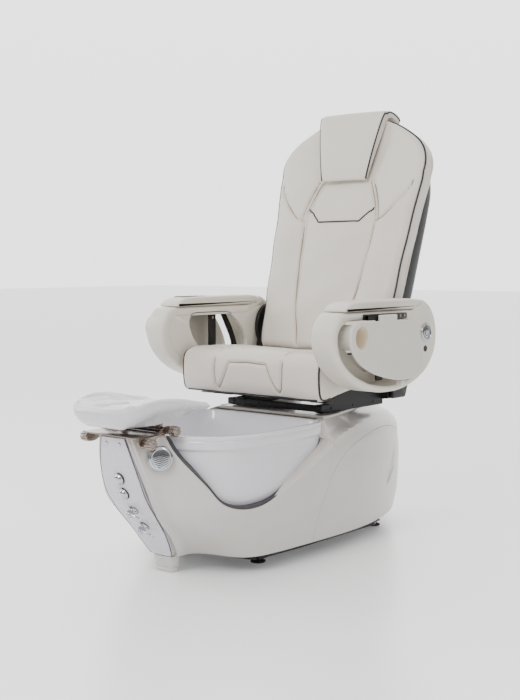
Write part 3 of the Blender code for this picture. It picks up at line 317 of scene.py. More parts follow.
def look(name, colour, rough, metallic=0.0, coat=0.0, sheen=0.0, tint=0.02, tint_scale=9.0, rough_spread=0.06,
         bumps=(), stretch=(1.0, 1.0, 1.0), flecks=0.0, subsurface=0.0):
    """A procedural material: a slightly uneven colour and gloss, and layers of bump as
    (kind, scale, strength, distance)."""
    material = bpy.data.materials.new(name)
    material.use_nodes = True
    tree = material.node_tree
    new, join = tree.nodes.new, tree.links.new
    shader = tree.nodes["Principled BSDF"]
    colour = [linear(c) for c in colour]
    shader.inputs["Metallic"].default_value = metallic
    shader.inputs["Coat Weight"].default_value = coat
    shader.inputs["Coat Roughness"].default_value = 0.06
    shader.inputs["Sheen Weight"].default_value = sheen
    shader.inputs["Sheen Roughness"].default_value = 0.4
    if subsurface:
        shader.inputs["Subsurface Weight"].default_value = subsurface
        shader.inputs["Subsurface Radius"].default_value = (0.004, 0.003, 0.002)
        shader.inputs["Subsurface Scale"].default_value = 1.0
    place = new("ShaderNodeTexCoord")
    spread = new("ShaderNodeMapping")
    spread.inputs["Scale"].default_value = stretch
    join(place.outputs["Object"], spread.inputs["Vector"])

    def noise(scale, detail=4.0, kind="ShaderNodeTexNoise"):
        texture = new(kind)
        texture.inputs["Scale"].default_value = scale
        if "Detail" in texture.inputs:
            texture.inputs["Detail"].default_value = detail
        join(spread.outputs["Vector"], texture.inputs["Vector"])
        return texture

    broad = noise(tint_scale)
    ramp = new("ShaderNodeValToRGB")
    ramp.color_ramp.elements[0].position, ramp.color_ramp.elements[1].position = 0.3, 0.7
    darker = [max(0.0, c * (1 - tint * (1.0 + 0.35 * k))) for k, c in enumerate(colour)]
    lighter = [min(1.0, c * (1 + tint)) for c in colour]
    ramp.color_ramp.elements[0].color, ramp.color_ramp.elements[1].color = (*darker, 1.0), (*lighter, 1.0)
    join(broad.outputs["Fac"], ramp.inputs["Fac"])
    shade = ramp.outputs["Color"]
    if flecks:
        fine = noise(900.0, 1.0, "ShaderNodeTexVoronoi")
        sparkle = new("ShaderNodeMapRange")
        sparkle.inputs["From Min"].default_value, sparkle.inputs["From Max"].default_value = 0.0, 0.35
        sparkle.inputs["To Min"].default_value, sparkle.inputs["To Max"].default_value = flecks, 0.0
        join(fine.outputs["Distance"], sparkle.inputs["Value"])
        mix = new("ShaderNodeMix")
        mix.data_type, mix.blend_type = "RGBA", "SCREEN"
        join(sparkle.outputs["Result"], mix.inputs["Factor"])
        join(shade, mix.inputs[6])
        mix.inputs[7].default_value = (0.9, 0.88, 0.92, 1.0)
        shade = mix.outputs[2]
    join(shade, shader.inputs["Base Color"])
    wear = noise(tint_scale * 5.0, 6.0)
    gloss = new("ShaderNodeMapRange")
    gloss.inputs["To Min"].default_value = max(0.02, rough - rough_spread)
    gloss.inputs["To Max"].default_value = rough + rough_spread
    join(wear.outputs["Fac"], gloss.inputs["Value"])
    join(gloss.outputs["Result"], shader.inputs["Roughness"])
    normal = None
    for kind, scale, strength, distance in bumps:
        texture = noise(scale, 3.0, "ShaderNodeTexVoronoi" if kind == "cells" else "ShaderNodeTexNoise")
        bump = new("ShaderNodeBump")
        bump.inputs["Strength"].default_value = strength
        bump.inputs["Distance"].default_value = distance
        join(texture.outputs["Distance" if kind == "cells" else "Fac"], bump.inputs["Height"])
        if normal is not None:
            join(normal, bump.inputs["Normal"])
        normal = bump.outputs["Normal"]
    if normal is not None:
        join(normal, shader.inputs["Normal"])
    LOOKS[name] = material


def make_looks():
    satin = (("noise", 700.0, 0.1, 0.0004),)
    look("pearl", (200, 195, 190), 0.3, coat=0.35, tint=0.025, flecks=0.1, bumps=(("noise", 900.0, 0.04, 0.0003),))
    look("bowl", (214, 212, 217), 0.2, coat=0.6, tint=0.015, bumps=(("noise", 500.0, 0.03, 0.0003),))
    look("panel", (205, 201, 211), 0.28, coat=0.35, tint=0.02, flecks=0.12, bumps=(("noise", 900.0, 0.04, 0.0003),))
    look("ivory", (214, 208, 196), 0.4, tint=0.02, bumps=satin, coat=0.1)
    look("cream", (232, 220, 198), 0.45, tint=0.025, bumps=satin)
    look("tray", (204, 201, 193), 0.42, tint=0.015, bumps=satin)
    look("leather", (214, 207, 197), 0.48, sheen=0.12, tint=0.03, tint_scale=5.0, rough_spread=0.08,
         bumps=(("cells", 620.0, 0.16, 0.0006), ("noise", 46.0, 0.22, 0.004), ("noise", 13.0, 0.22, 0.01)))
    # The seam look is a darker copy of the leather: painted shade laid in the bottoms of the seam creases.
    look("seam", (150, 136, 118), 0.6, tint=0.06, bumps=(("noise", 900.0, 0.2, 0.0004),))
    look("piping", (26, 24, 25), 0.45, tint=0.2, bumps=(("cells", 900.0, 0.2, 0.0004),))
    look("thread", (236, 230, 220), 0.7, tint=0.05, bumps=(("noise", 2500.0, 0.4, 0.0003),))
    look("footrest", (212, 211, 214), 0.26, coat=0.4, tint=0.012, bumps=(("noise", 420.0, 0.04, 0.0003),))
    look("chrome", (186, 188, 193), 0.07, metallic=1.0, tint=0.01, rough_spread=0.03,
         bumps=(("noise", 60.0, 0.02, 0.0004),))
    look("steel", (150, 138, 130), 0.26, metallic=1.0, tint=0.05, rough_spread=0.08, stretch=(0.3, 1.0, 5.0),
         bumps=(("noise", 320.0, 0.12, 0.0003),))
    look("black_metal", (30, 30, 31), 0.4, metallic=0.4, tint=0.15, bumps=(("noise", 600.0, 0.15, 0.0004),))
    look("black_plastic", (40, 40, 42), 0.48, tint=0.12, bumps=(("cells", 500.0, 0.16, 0.0005),))
    # The groove look's dark grey is painted shade for the recessed channel between the shell and the bowl; it also
    # draws the dark lines along the front panel's sides.
    look("groove", (58, 56, 60), 0.5, tint=0.05, bumps=(("noise", 500.0, 0.15, 0.0005),))
    look("rubber", (38, 38, 38), 0.8, tint=0.1, bumps=(("noise", 300.0, 0.3, 0.0006),))
    look("brass", (190, 152, 88), 0.35, metallic=1.0, tint=0.08, bumps=(("noise", 200.0, 0.2, 0.0006),))


# ---------------------------------------------------------------- base shell, rear cover, bowl and deck

SHELL_LEVELS = {
    0.05: [(0.02, -0.703), (0.038, -0.7), (0.052, -0.672), (0.06, -0.632), (0.11, -0.608), (0.175, -0.597),
            (0.222, -0.57), (0.246, -0.5), (0.254, -0.304), (0.257, -0.071), (0.229, 0.12), (0.158, 0.31),
            (0.07, 0.395)],
    0.105: [(0.03, -0.733), (0.06, -0.729), (0.078, -0.7), (0.098, -0.672), (0.14, -0.655), (0.2, -0.635),
            (0.245, -0.59), (0.268, -0.49), (0.272, -0.3), (0.271, -0.071), (0.238, 0.125), (0.164, 0.325),
            (0.072, 0.408)],
    0.2: [(0.04, -0.81), (0.076, -0.806), (0.094, -0.792), (0.118, -0.778), (0.16, -0.762), (0.212, -0.728),
            (0.258, -0.665), (0.281, -0.54), (0.284, -0.3), (0.28, -0.071), (0.243, 0.13), (0.168, 0.332),
            (0.074, 0.418)],
    0.3: [(0.04, -0.861), (0.076, -0.857), (0.096, -0.838), (0.116, -0.812), (0.155, -0.785), (0.212, -0.748),
            (0.262, -0.67), (0.284, -0.53), (0.283, -0.3), (0.274, -0.071), (0.24, 0.13), (0.166, 0.33),
            (0.074, 0.416)],
    0.38: [(0.028, -0.885), (0.06, -0.881), (0.078, -0.868), (0.098, -0.832), (0.118, -0.792), (0.196, -0.752),
            (0.258, -0.66), (0.278, -0.52), (0.27, -0.3), (0.252, -0.071), (0.222, 0.11), (0.158, 0.3),
            (0.07, 0.385)],
    0.424: [(0.024, -0.893), (0.044, -0.89), (0.064, -0.88), (0.086, -0.834), (0.106, -0.79), (0.19, -0.745),
            (0.25, -0.65), (0.268, -0.52), (0.264, -0.29), (0.208, -0.08), (0.164, 0.075), (0.114, 0.24),
            (0.05, 0.33)],
}
SHELL_LOW, SHELL_TOP = 0.05, 0.424
APRON_LINE = [(-0.805, 0.47), (-0.796, 0.405), (-0.784, 0.361), (-0.766, 0.32), (-0.738, 0.277), (-0.705, 0.232),
              (-0.66, 0.21), (-0.6, 0.204), (-0.535, 0.216), (-0.463, 0.25), (-0.34, 0.31), (-0.25, 0.35),
              (-0.218, 0.378), (-0.2, 0.47)]
RIDGE_LINE = [(-0.6, 0.2), (-0.463, 0.253), (-0.34, 0.31), (-0.25, 0.347), (-0.146, 0.378), (0.03, 0.4),
              (0.148, 0.404), (0.25, 0.398), (0.42, 0.38)]
COVER_LINE = [(-0.3, 0.03), (-0.305, 0.12), (-0.285, 0.18), (-0.225, 0.268), (-0.149, 0.316), (-0.06, 0.345),
              (0.04, 0.361), (0.14, 0.364), (0.23, 0.35), (0.3, 0.325), (0.37, 0.303), (0.48, 0.295)]


def whole(half):
    """An outline from its half and that half's mirror image."""
    return list(half) + [(-x, y) for x, y in reversed(half)]


class ShellSurface:
    """The smooth outer surface of the base, by column round it and height."""

    def __init__(self):
        corners = whole(SHELL_LEVELS[0.2])
        count = len(corners)
        steps = []
        for i in range(count):
            reach = (math.dist(corners[i], corners[i - 1]) + math.dist(corners[i], corners[(i + 1) % count])) / 2
            steps.append(max(14, round(reach / 0.0065)))
        for i in (1, 2, 3):
            steps[i] = steps[count - 1 - i] = 18
        self.heights = np.array(list(SHELL_LEVELS))
        self.outlines = np.array([bspline(whole(half), steps) for half in SHELL_LEVELS.values()])
        self.slopes = np.gradient(self.outlines, self.heights, axis=0)
        self.count = self.outlines.shape[1]

    def at(self, z):
        """The surface's points at a height for each column."""
        z = np.clip(np.broadcast_to(z, self.count).astype(float), self.heights[0], self.heights[-1])
        k = np.clip(np.searchsorted(self.heights, z) - 1, 0, len(self.heights) - 2)
        c = np.arange(self.count)
        step = self.heights[k + 1] - self.heights[k]
        t = ((z - self.heights[k]) / step)[:, None]
        step = step[:, None]
        low, high = self.outlines[k, c], self.outlines[k + 1, c]
        rise_low, rise_high = self.slopes[k, c] * step, self.slopes[k + 1, c] * step
        return ((2 * t ** 3 - 3 * t ** 2 + 1) * low + (t ** 3 - 2 * t ** 2 + t) * rise_low
                + (3 * t ** 2 - 2 * t ** 3) * high + (t ** 3 - t ** 2) * rise_high)

    def normal(self, z):
        place = self.at(z)
        way = np.roll(place, -1, axis=0) - np.roll(place, 1, axis=0)
        way /= np.linalg.norm(way, axis=1, keepdims=True)
        return np.stack([way[:, 1], -way[:, 0]], axis=1)


SHELL = ShellSurface()


def line_height(line, y):
    line = np.array(line)
    return np.interp(y, line[:, 0], line[:, 1])


APRON = flow(APRON_LINE, 120)
RIDGE = flow(RIDGE_LINE, 90)


def panel_half(z):
    """The front panel's half width at a height."""
    return np.interp(z, *np.array([(0.05, 0.04), (0.062, 0.048), (0.095, 0.0585), (0.135, 0.067), (0.2, 0.077),
                                   (0.25, 0.079), (0.3, 0.077), (0.34, 0.07), (0.38, 0.0605), (0.424, 0.047)]).T)


def swell(place, z):
    """How far the shell stands out of its plain surface, at points of one height each."""
    x, y = np.abs(place[:, 0]), place[:, 1]
    beside = x - panel_half(z)
    front = ease(y, -0.64, -0.7)
    strength = ease(z, 0.09, 0.22)
    flush = 0.0085 * (1 - ease(beside, 0.01, 0.034))
    ridges = 0.0022 * strength * (hill(beside - 0.005, 0.0026) + 0.8 * hill(beside - 0.0125, 0.003))
    valley = -0.0012 * strength * hill(beside - 0.0088, 0.002)
    near_panel = front * np.where(beside > 0.0, flush + ridges + valley, -0.002)
    above = z - line_height(RIDGE, y)
    rear = ease(y, -0.52, -0.4) * (1 - ease(y, 0.27, 0.38))
    deep = 0.016 - 0.007 * ease(y, -0.2, 0.05)
    ridge = rear * (0.0045 * hill(above, 0.008) - deep * ease(above, 0.0, 0.012))
    tip = np.array((0.121, 0.15))
    crease = np.zeros_like(z)
    for end, side in (((0.229, 0.271), 1.0), ((0.219, 0.206), -1.0)):
        way = np.array(end) - tip
        length = np.linalg.norm(way)
        way /= length
        along = (y - tip[0]) * way[0] + (z - tip[1]) * way[1]
        off = (z - tip[1]) * way[0] - (y - tip[0]) * way[1]
        live = ease(along, 0.0, 0.03) * (1 - ease(along, length * 0.9, length * 1.35))
        crease += live * (0.003 * hill(off * side, 0.0035) - 0.003 * hill(off * side + 0.008, 0.006))
    crease = np.where(x > 0.1, crease, 0.0)
    return near_panel + ridge + crease


def shell_point(z, inset=0.0, lift=0.0):
    """Points of the shell's outer surface, drawn in by an inset and lifted."""
    z = np.broadcast_to(z, SHELL.count).astype(float)
    place = SHELL.at(z)
    out = swell(place, z) - inset
    flat = place + SHELL.normal(z) * np.broadcast_to(out, SHELL.count)[:, None]
    return np.column_stack([flat, z + lift])


def shell_tops():
    """The height at which the bowl's apron line cuts each column."""
    lowest = SHELL_LOW + 0.05
    low, high = np.full(SHELL.count, lowest), np.full(SHELL.count, SHELL_TOP)
    crossed = np.zeros(SHELL.count, bool)
    for z in np.linspace(lowest, SHELL_TOP, 160):
        y = SHELL.at(z)[:, 1]
        over = (z > line_height(APRON, y)) & (y > -0.8) & (y < -0.2)
        high = np.where(over & ~crossed, z, high)
        low = np.where(over | crossed, low, z)
        crossed |= over
    for _ in range(12):
        middle = (low + high) / 2
        y = SHELL.at(middle)[:, 1]
        over = (middle > line_height(APRON, y)) & crossed
        high, low = np.where(over, middle, high), np.where(over, low, middle)
    return np.where(crossed, high, SHELL_TOP)


def make_shell():
    tops = shell_tops()
    y_top = SHELL.at(tops)[:, 1]
    rows = [shell_point(SHELL_LOW + (tops - SHELL_LOW) * f, 0.0016 * (1 - ease(f, 0.0, 0.01))) for f in
            np.r_[0.0, 0.006, np.linspace(0.014, 0.95, 54), 0.972, 0.988, 1.0]]
    opening = (tops < SHELL_TOP - 0.001)
    shelf = np.where(opening, 0.004 + 0.02 * ease(y_top, -0.53, -0.42), 0.004)
    rows += [shell_point(*row) for row in (
        (tops, 0.0007, 0.0018), (tops, 0.0024, 0.0034), (tops, 0.0045, 0.004),
        (tops, 0.0046 + shelf * 0.5, 0.0044 + shelf * 0.1), (tops, 0.005 + shelf, 0.0046 + shelf * 0.22),
        (tops, 0.0056 + shelf, -0.002), (tops - 0.018, 0.0085 + shelf * 0.5),
        (SHELL_LOW + (tops - SHELL_LOW) * 0.5, 0.009), (SHELL_LOW, 0.008))]
    shape = Shape().grid(rows, wrap_rows=True, wrap_columns=True)
    shell = make_object("base_shell_skin", shape, [LOOKS["pearl"]])
    cover = shell.copy()
    cover.data = shell.data.copy()
    cover.name = "rear_cover_skin"
    bpy.context.scene.collection.objects.link(cover)
    line = [tuple(p) for p in flow(COVER_LINE, 100)] + [(0.6, 0.29), (0.6, -0.02), (-0.3, -0.02)]
    for thing, gap, operation in ((shell, -0.0006, "DIFFERENCE"), (cover, 0.0006, "INTERSECT")):
        outline = inward(line, gap)
        cutter = Shape().loft([[(x, a, b) for a, b in outline] for x in (-0.4, 0.4)])
        boolean(thing, make_object("cutter", cutter, []), operation)
        finish_shading(thing, 32.0)
    register(shell, "base", "pearl_shell", "base_shell")
    register(cover, "base", "pearl_shell", "rear_cover")
    make_groove(tops, y_top, opening)


def make_groove(tops, y_top, opening):
    """A dark grey strip, painted shade, lining the channel between the shell's edge and the bowl; it narrows to
    nothing at its rear end.
    """
    wide = 0.0015 + 0.012 * (1 - ease(y_top, -0.6, -0.452))
    lines = [shell_point(tops - 0.004, 0.005), shell_point(tops + wide * 0.25, 0.0056),
             shell_point(tops + wide * 0.7, 0.0052), shell_point(tops + wide, 0.0058),
             shell_point(tops + wide + 0.0008, 0.026), shell_point(tops + wide - 0.003, 0.026),
             shell_point(tops - 0.004, 0.0085)]
    live = opening & (y_top < -0.44)
    shape = Shape()
    for side in (1.0, -1.0):
        columns = [c for c in range(SHELL.count) if live[c] and lines[0][c][0] * side > 0]
        columns.sort(key=lambda c: lines[0][c][1])
        shape.loft([[line[c] for line in lines] for c in columns])
    piece("groove_shade_strip", shape, "groove", "base")


BASIN_RIM = [(0.06, -0.772), (0.112, -0.764), (0.18, -0.738), (0.236, -0.69), (0.264, -0.61), (0.272, -0.5),
             (0.266, -0.36), (0.25, -0.228), (0.16, -0.214)]
BASIN_CENTRE = np.array((0.0, -0.49))
BASIN_HALF = 0.272
BASIN_COLUMNS = 288
DRAIN = np.array((0.0, -0.47))


def make_bowl():
    angles, unit = spokes(BASIN_COLUMNS)
    rim = polar(bspline(whole(BASIN_RIM), 14), BASIN_CENTRE, angles)

    def ring(reach, z):
        flat = BASIN_CENTRE + unit * np.broadcast_to(reach, BASIN_COLUMNS)[:, None]
        return np.column_stack([flat, np.broadcast_to(z, BASIN_COLUMNS)])

    def shell_reach(z):
        return polar(SHELL.at(z), BASIN_CENTRE, angles)

    rings = []
    for z in np.linspace(0.186, 0.372, 26):
        belly = rim - 0.006 - 0.03 * (1 - ease(z, 0.15, 0.3)) ** 2
        rings.append(ring(np.minimum(shell_reach(z) - 0.007, belly), z))
    for z, out in ((0.378, -0.0056), (0.3815, -0.0045), (0.3835, -0.001), (0.386, 0.001), (0.389, 0.0018),
                   (0.396, 0.0022), (0.404, 0.0022), (0.408, 0.0012), (0.4095, 0.0), (0.411, 0.001), (0.415, 0.0016),
                   (0.419, 0.001), (0.4212, -0.001), (0.422, -0.004), (0.422, -0.012), (0.4205, -0.0155),
                   (0.4165, -0.018), (0.408, -0.0198)):
        rings.append(ring(rim + out, z))
    for inset, z in ((0.021, 0.4), (0.024, 0.37), (0.028, 0.33), (0.033, 0.29), (0.039, 0.255), (0.047, 0.225),
                     (0.056, 0.204), (0.067, 0.19), (0.082, 0.1805), (0.1, 0.1755), (0.122, 0.1735)):
        rings.append(ring(rim * (1 - inset / BASIN_HALF), z))
    for share in (0.44, 0.34, 0.24, 0.15):
        centre = BASIN_CENTRE + (DRAIN - BASIN_CENTRE) * (1 - share / 0.54)
        flat = centre + unit * (rim * share)[:, None]
        rings.append(np.column_stack([flat, np.full(BASIN_COLUMNS, 0.1735 - 0.0012 * (0.54 - share))]))
    for z in (0.1722, 0.1662):
        rings.append(np.column_stack([DRAIN + unit * 0.0325, np.full(BASIN_COLUMNS, z)]))
    for inset, z in ((0.1235, 0.1665), (0.07, 0.174), (0.034, 0.23), (0.0235, 0.36), (0.016, 0.374)):
        rings.append(ring(rim * (1 - inset / BASIN_HALF), z))
    first = rings[0]
    rings.append(np.column_stack([first[:, :2] + (BASIN_CENTRE - first[:, :2]) * 0.012, first[:, 2]]))
    shape = Shape().grid(rings, wrap_rows=True, wrap_columns=True)
    piece("bowl_skin", shape, "bowl", "base", "basin_left", "basin_right", sharp=50.0)


def make_deck():
    half = [(0.03, -0.212), (0.15, -0.212), (0.236, -0.215), (0.212, -0.1), (0.162, 0.06), (0.108, 0.228),
            (0.05, 0.322)]
    outline = even(bspline(whole(half), 10), 220, closed=True)
    levels = ((0.01, 0.4243), (0.001, 0.4246), (0.0, 0.4262), (0.0, 0.429), (0.0006, 0.4316), (0.0022, 0.4329),
              (0.0045, 0.4332), (0.008, 0.4328), (0.0092, 0.4318), (0.012, 0.4318))
    piece("deck_skin", Shape().stacked(outline, levels), "pearl", "base", "deck_plate")


# ---------------------------------------------------------------- front panel and fittings
PANEL_FACE = [(-0.7125, 0.052), (-0.7165, 0.06), (-0.739, 0.095), (-0.766, 0.135), (-0.818, 0.2),
              (-0.852, 0.25), (-0.872, 0.3), (-0.8905, 0.365), (-0.902, 0.4235)]
PANEL_LINE = flow(PANEL_FACE, 90)
PANEL_CURVE = 0.003


def panel_place(x, z):
    y = np.interp(z, PANEL_LINE[:, 1], PANEL_LINE[:, 0])
    share = x / panel_half(z)
    return np.array((x, y + PANEL_CURVE * share * share, z))


def panel_face_normal(z):
    """The panel's slope from the part, along which the fittings stand."""
    for (y0, z0), (y1, z1) in zip(PANEL_FACE, PANEL_FACE[1:]):
        if z <= z1:
            lean = math.atan2(y0 - y1, z1 - z0)
            return Vector((0.0, -math.cos(lean), -math.sin(lean)))
    return Vector((0.0, -1.0, 0.0))


def fitting_centre(z):
    for (y0, z0), (y1, z1) in zip(PANEL_FACE, PANEL_FACE[1:]):
        if z <= z1:
            return Vector((0.0, y0 + (y1 - y0) * (z - z0) / (z1 - z0), z))
    return Vector()


def make_panel():
    shares = np.r_[-1.0, -0.992, -0.975, np.linspace(-0.94, 0.94, 33), 0.975, 0.992, 1.0]
    front, rear = [], []
    for y, z in PANEL_LINE:
        half = float(panel_half(z)) - 0.0008
        bead = -0.0012 * np.exp(-((np.abs(shares) - 0.955) / 0.02) ** 2)
        round_edge = 0.0022 * ease(np.abs(shares), 0.975, 1.0)
        front.append([(half * k, y + PANEL_CURVE * k * k + b + e, z) for k, b, e in zip(shares, bead, round_edge)])
        rear.append([(half * k, y + PANEL_CURVE * k * k + 0.0085, z + 0.001) for k in shares])
    closed = np.concatenate([np.array(front), np.array(rear)[:, ::-1]], axis=1)
    piece("front_panel_skin", Shape().loft(closed), "panel", "base", "front_panel", sharp=45.0)
    seam = Shape()
    for sign in (1.0, -1.0):
        seam.tube([(sign * (float(panel_half(z)) + 0.0002), y + 0.0038, z) for y, z in PANEL_LINE], 0.0014, 8)
    piece("panel_seam", seam, "groove", "base")
    caps = Shape()
    for x in (-0.026, 0.026):
        spot = panel_place(x, 0.4065)
        caps.turned([(0.0, -0.002), (0.0052, -0.002), (0.0056, 0.0004), (0.005, 0.0016), (0.0028, 0.0026),
                     (0.0, 0.0029)], spot, panel_face_normal(0.4), 24)
    piece("panel_screw_caps", caps, "chrome", "base")


def make_fittings():
    # Black rings just wider than each chrome fitting: painted shade for the thin shadow line round each escutcheon.
    shade_rings = Shape()
    for z, radius in ((0.303, 0.0186), (0.258, 0.0186), (0.205, 0.0174), (0.15, 0.0174)):
        shade_rings.turned([(0.0, -0.001), (radius, -0.001), (radius, 0.001), (radius - 0.0012, 0.0018), (0.0, 0.0018)],
                     fitting_centre(z), panel_face_normal(z), 48)
    piece("fitting_shade_rings", shade_rings, "black_plastic", "base")
    for name, z in (("jet_button", 0.303), ("light_button", 0.258)):
        centre, normal = fitting_centre(z), panel_face_normal(z)
        profile = [(0.0, -0.016), (0.0075, -0.016), (0.0075, 0.0035), (0.016, 0.0036), (0.0175, 0.0044),
                   (0.018, 0.0058), (0.0174, 0.0072), (0.0158, 0.0078), (0.0152, 0.0072), (0.0146, 0.0078),
                   (0.0136, 0.0104), (0.0112, 0.0128), (0.0076, 0.0145), (0.0036, 0.0152), (0.0, 0.0153)]
        piece(name + "_cap", Shape().turned(profile, centre, normal, 56), "chrome", name, name, sharp=30.0)
    for name, z in (("hot_handle", 0.205), ("cold_handle", 0.15)):
        centre, normal = fitting_centre(z), panel_face_normal(z)
        shape = Shape().turned([(0.0, -0.016), (0.006, -0.016), (0.006, 0.0006), (0.016, 0.0006), (0.0168, 0.002),
                                (0.016, 0.004), (0.0128, 0.0062), (0.0108, 0.009), (0.0104, 0.012), (0.0112, 0.014),
                                (0.0112, 0.0235), (0.0104, 0.0262), (0.008, 0.0284), (0.004, 0.0294), (0.0, 0.0296)],
                               centre, normal, 48)
        down = Vector((1.0, 0.0, 0.0)).cross(normal)
        way = Matrix.Rotation(math.radians(68.0), 3, normal) @ down
        root = centre + normal * 0.019
        rings = []
        side = way.cross(normal).normalized()
        for along, wide, thick in ((0.0, 0.0055, 0.0055), (0.01, 0.0058, 0.005), (0.018, 0.005, 0.004),
                                   (0.028, 0.005, 0.0036), (0.038, 0.0056, 0.0032), (0.0445, 0.0058, 0.0028),
                                   (0.047, 0.0048, 0.0022), (0.048, 0.002, 0.001)):
            ring = []
            for k in range(24):
                a = math.tau * k / 24
                ring.append(tuple(root + way * along + side * (wide * math.cos(a)) + normal * (thick * math.sin(a))))
            rings.append(ring)
        shape.loft(rings)
        piece(name + "_lever", shape, "chrome", name, name, sharp=35.0)


SPRAY_CENTRE = Vector((0.1135, -0.8255, 0.367))
SPRAY_AXIS = Vector((0.84, -0.54, 0.05)).normalized()


def make_spray():
    """The spray's ring, open through its middle, and the head that pulls out of it."""
    count = 56
    profile = [(0.0262, -0.028), (0.03, -0.028), (0.03, 0.002), (0.0352, 0.0032), (0.0362, 0.0048),
               (0.0352, 0.0062), (0.03, 0.0066), (0.0262, 0.006)]
    socket = Shape().turned(profile, SPRAY_CENTRE, SPRAY_AXIS, count)
    socket.faces, socket.marks = socket.faces[:-2], socket.marks[:-2]
    last = (len(profile) - 1) * count
    for k in range(count):
        j = (k + 1) % count
        socket.faces.append((k, j, last + j, last + k))
        socket.marks.append(0)
    piece("spray_socket_ring", socket, "chrome", "base", "spray_socket", sharp=30.0)
    head = Shape().turned([(0.0, -0.026), (0.018, -0.026), (0.024, -0.012), (0.024, 0.0072), (0.032, 0.0074),
                           (0.0346, 0.0086), (0.0352, 0.0108), (0.034, 0.0134), (0.031, 0.0154), (0.0286, 0.0162),
                           (0.0276, 0.0158), (0.0262, 0.016), (0.02, 0.017), (0.01, 0.0176), (0.0, 0.0177)],
                          SPRAY_CENTRE, SPRAY_AXIS, count)
    piece("spray_face", head, "chrome", "spray_head", "spray_head", sharp=30.0)
    up = Vector((0.0, 0.0, 1.0))
    up = (up - SPRAY_AXIS * up.dot(SPRAY_AXIS)).normalized()
    across = up.cross(SPRAY_AXIS).normalized()
    waves = Shape()
    for k in range(-4, 5):
        level = k * 0.0052
        reach = math.sqrt(max(0.0, 0.0245 ** 2 - level ** 2))
        rows = []
        for t in np.linspace(-reach, reach, 40):
            wave = level + 0.0021 * math.sin(t / 0.0036)
            radius = math.hypot(t, wave)
            depth = 0.0177 - 0.0019 * (radius / 0.0262) ** 2 + 0.0004
            taper = 0.0013 * math.sqrt(max(0.02, 1 - (t / reach) ** 4))
            centre = SPRAY_CENTRE + SPRAY_AXIS * depth + across * t + up * wave
            rows.append([tuple(centre + up * taper), tuple(centre + SPRAY_AXIS * 0.0004), tuple(centre - up * taper),
                         tuple(centre - SPRAY_AXIS * 0.001)])
        waves.loft(rows)
    piece("spray_slots", waves, "black_plastic", "spray_head")


# ---------------------------------------------------------------- prow foot, feet and jet cover


def make_underside():
    outline = even(bspline([(-0.03, -0.706), (0.03, -0.706), (0.04, -0.69), (0.04, -0.668), (-0.04, -0.668),
                            (-0.04, -0.69)], 8), 72, closed=True)
    levels = ((0.004, 0.0), (0.001, 0.0012), (0.0, 0.004), (0.0, 0.01), (0.0015, 0.0115), (0.0022, 0.013),
              (0.0006, 0.0145), (-0.002, 0.03), (-0.0045, 0.049))
    piece("prow_foot_skin", Shape().stacked(outline, levels), "pearl", "base", "prow_foot")
    for name, (x, y) in {"front_left": (0.15, -0.44), "front_right": (-0.15, -0.44),
                         "rear_left": (0.14, 0.2), "rear_right": (-0.14, 0.2)}.items():
        foot = Shape().turned([(0.0, 0.0), (0.0195, 0.0), (0.0225, 0.001), (0.024, 0.0035), (0.0225, 0.0062),
                               (0.015, 0.009), (0.013, 0.012), (0.0128, 0.018), (0.009, 0.0186), (0.008, 0.0236),
                               (0.0, 0.0236)], (x, y, 0.0), (0, 0, 1), 40)
        piece(f"foot_{name}_skin", foot, "rubber", "base", f"foot_{name}")


def make_jet_cover():
    inward_way = Vector((0.0, -1.0, 0.14)).normalized()
    seat = Vector((0.0, -0.2565, 0.285)) + inward_way * 0.0008
    cover = Shape().turned([(0.0, 0.0), (0.049, 0.0), (0.05, 0.001), (0.0494, 0.0026), (0.046, 0.0042),
                            (0.042, 0.0048), (0.0405, 0.004), (0.039, 0.005), (0.03, 0.007), (0.016, 0.008),
                            (0.0, 0.0083)], seat, inward_way, 60)
    piece("jet_cover_face", cover, "chrome", "base", "jet_cover", sharp=30.0)
    ports = Shape()
    up = Vector((0, 0, 1))
    up = (up - inward_way * up.dot(inward_way)).normalized()
    across = up.cross(inward_way).normalized()
    for ring_reach, count in ((0.0, 1), (0.012, 6), (0.024, 10), (0.034, 14)):
        for k in range(count):
            a = math.tau * k / count
            spot = seat + across * (ring_reach * math.cos(a)) + up * (ring_reach * math.sin(a))
            height = 0.0086 - 0.003 * (ring_reach / 0.039) ** 2
            ports.turned([(0.0, 0.0015), (0.0024, 0.0015), (0.0024, height - 0.0004), (0.0019, height), (0.0, height)],
                         spot, inward_way, 14)
    piece("jet_cover_ports", ports, "black_plastic", "base")


# ---------------------------------------------------------------- footrest
FOOTREST_TILT = (-0.785, 0.441)
CLAMP_KNOB = (-0.88, 0.414)
PAD_FRONT, PAD_LENGTH = -0.966, 0.32
KNOB_FACE = 0.1083


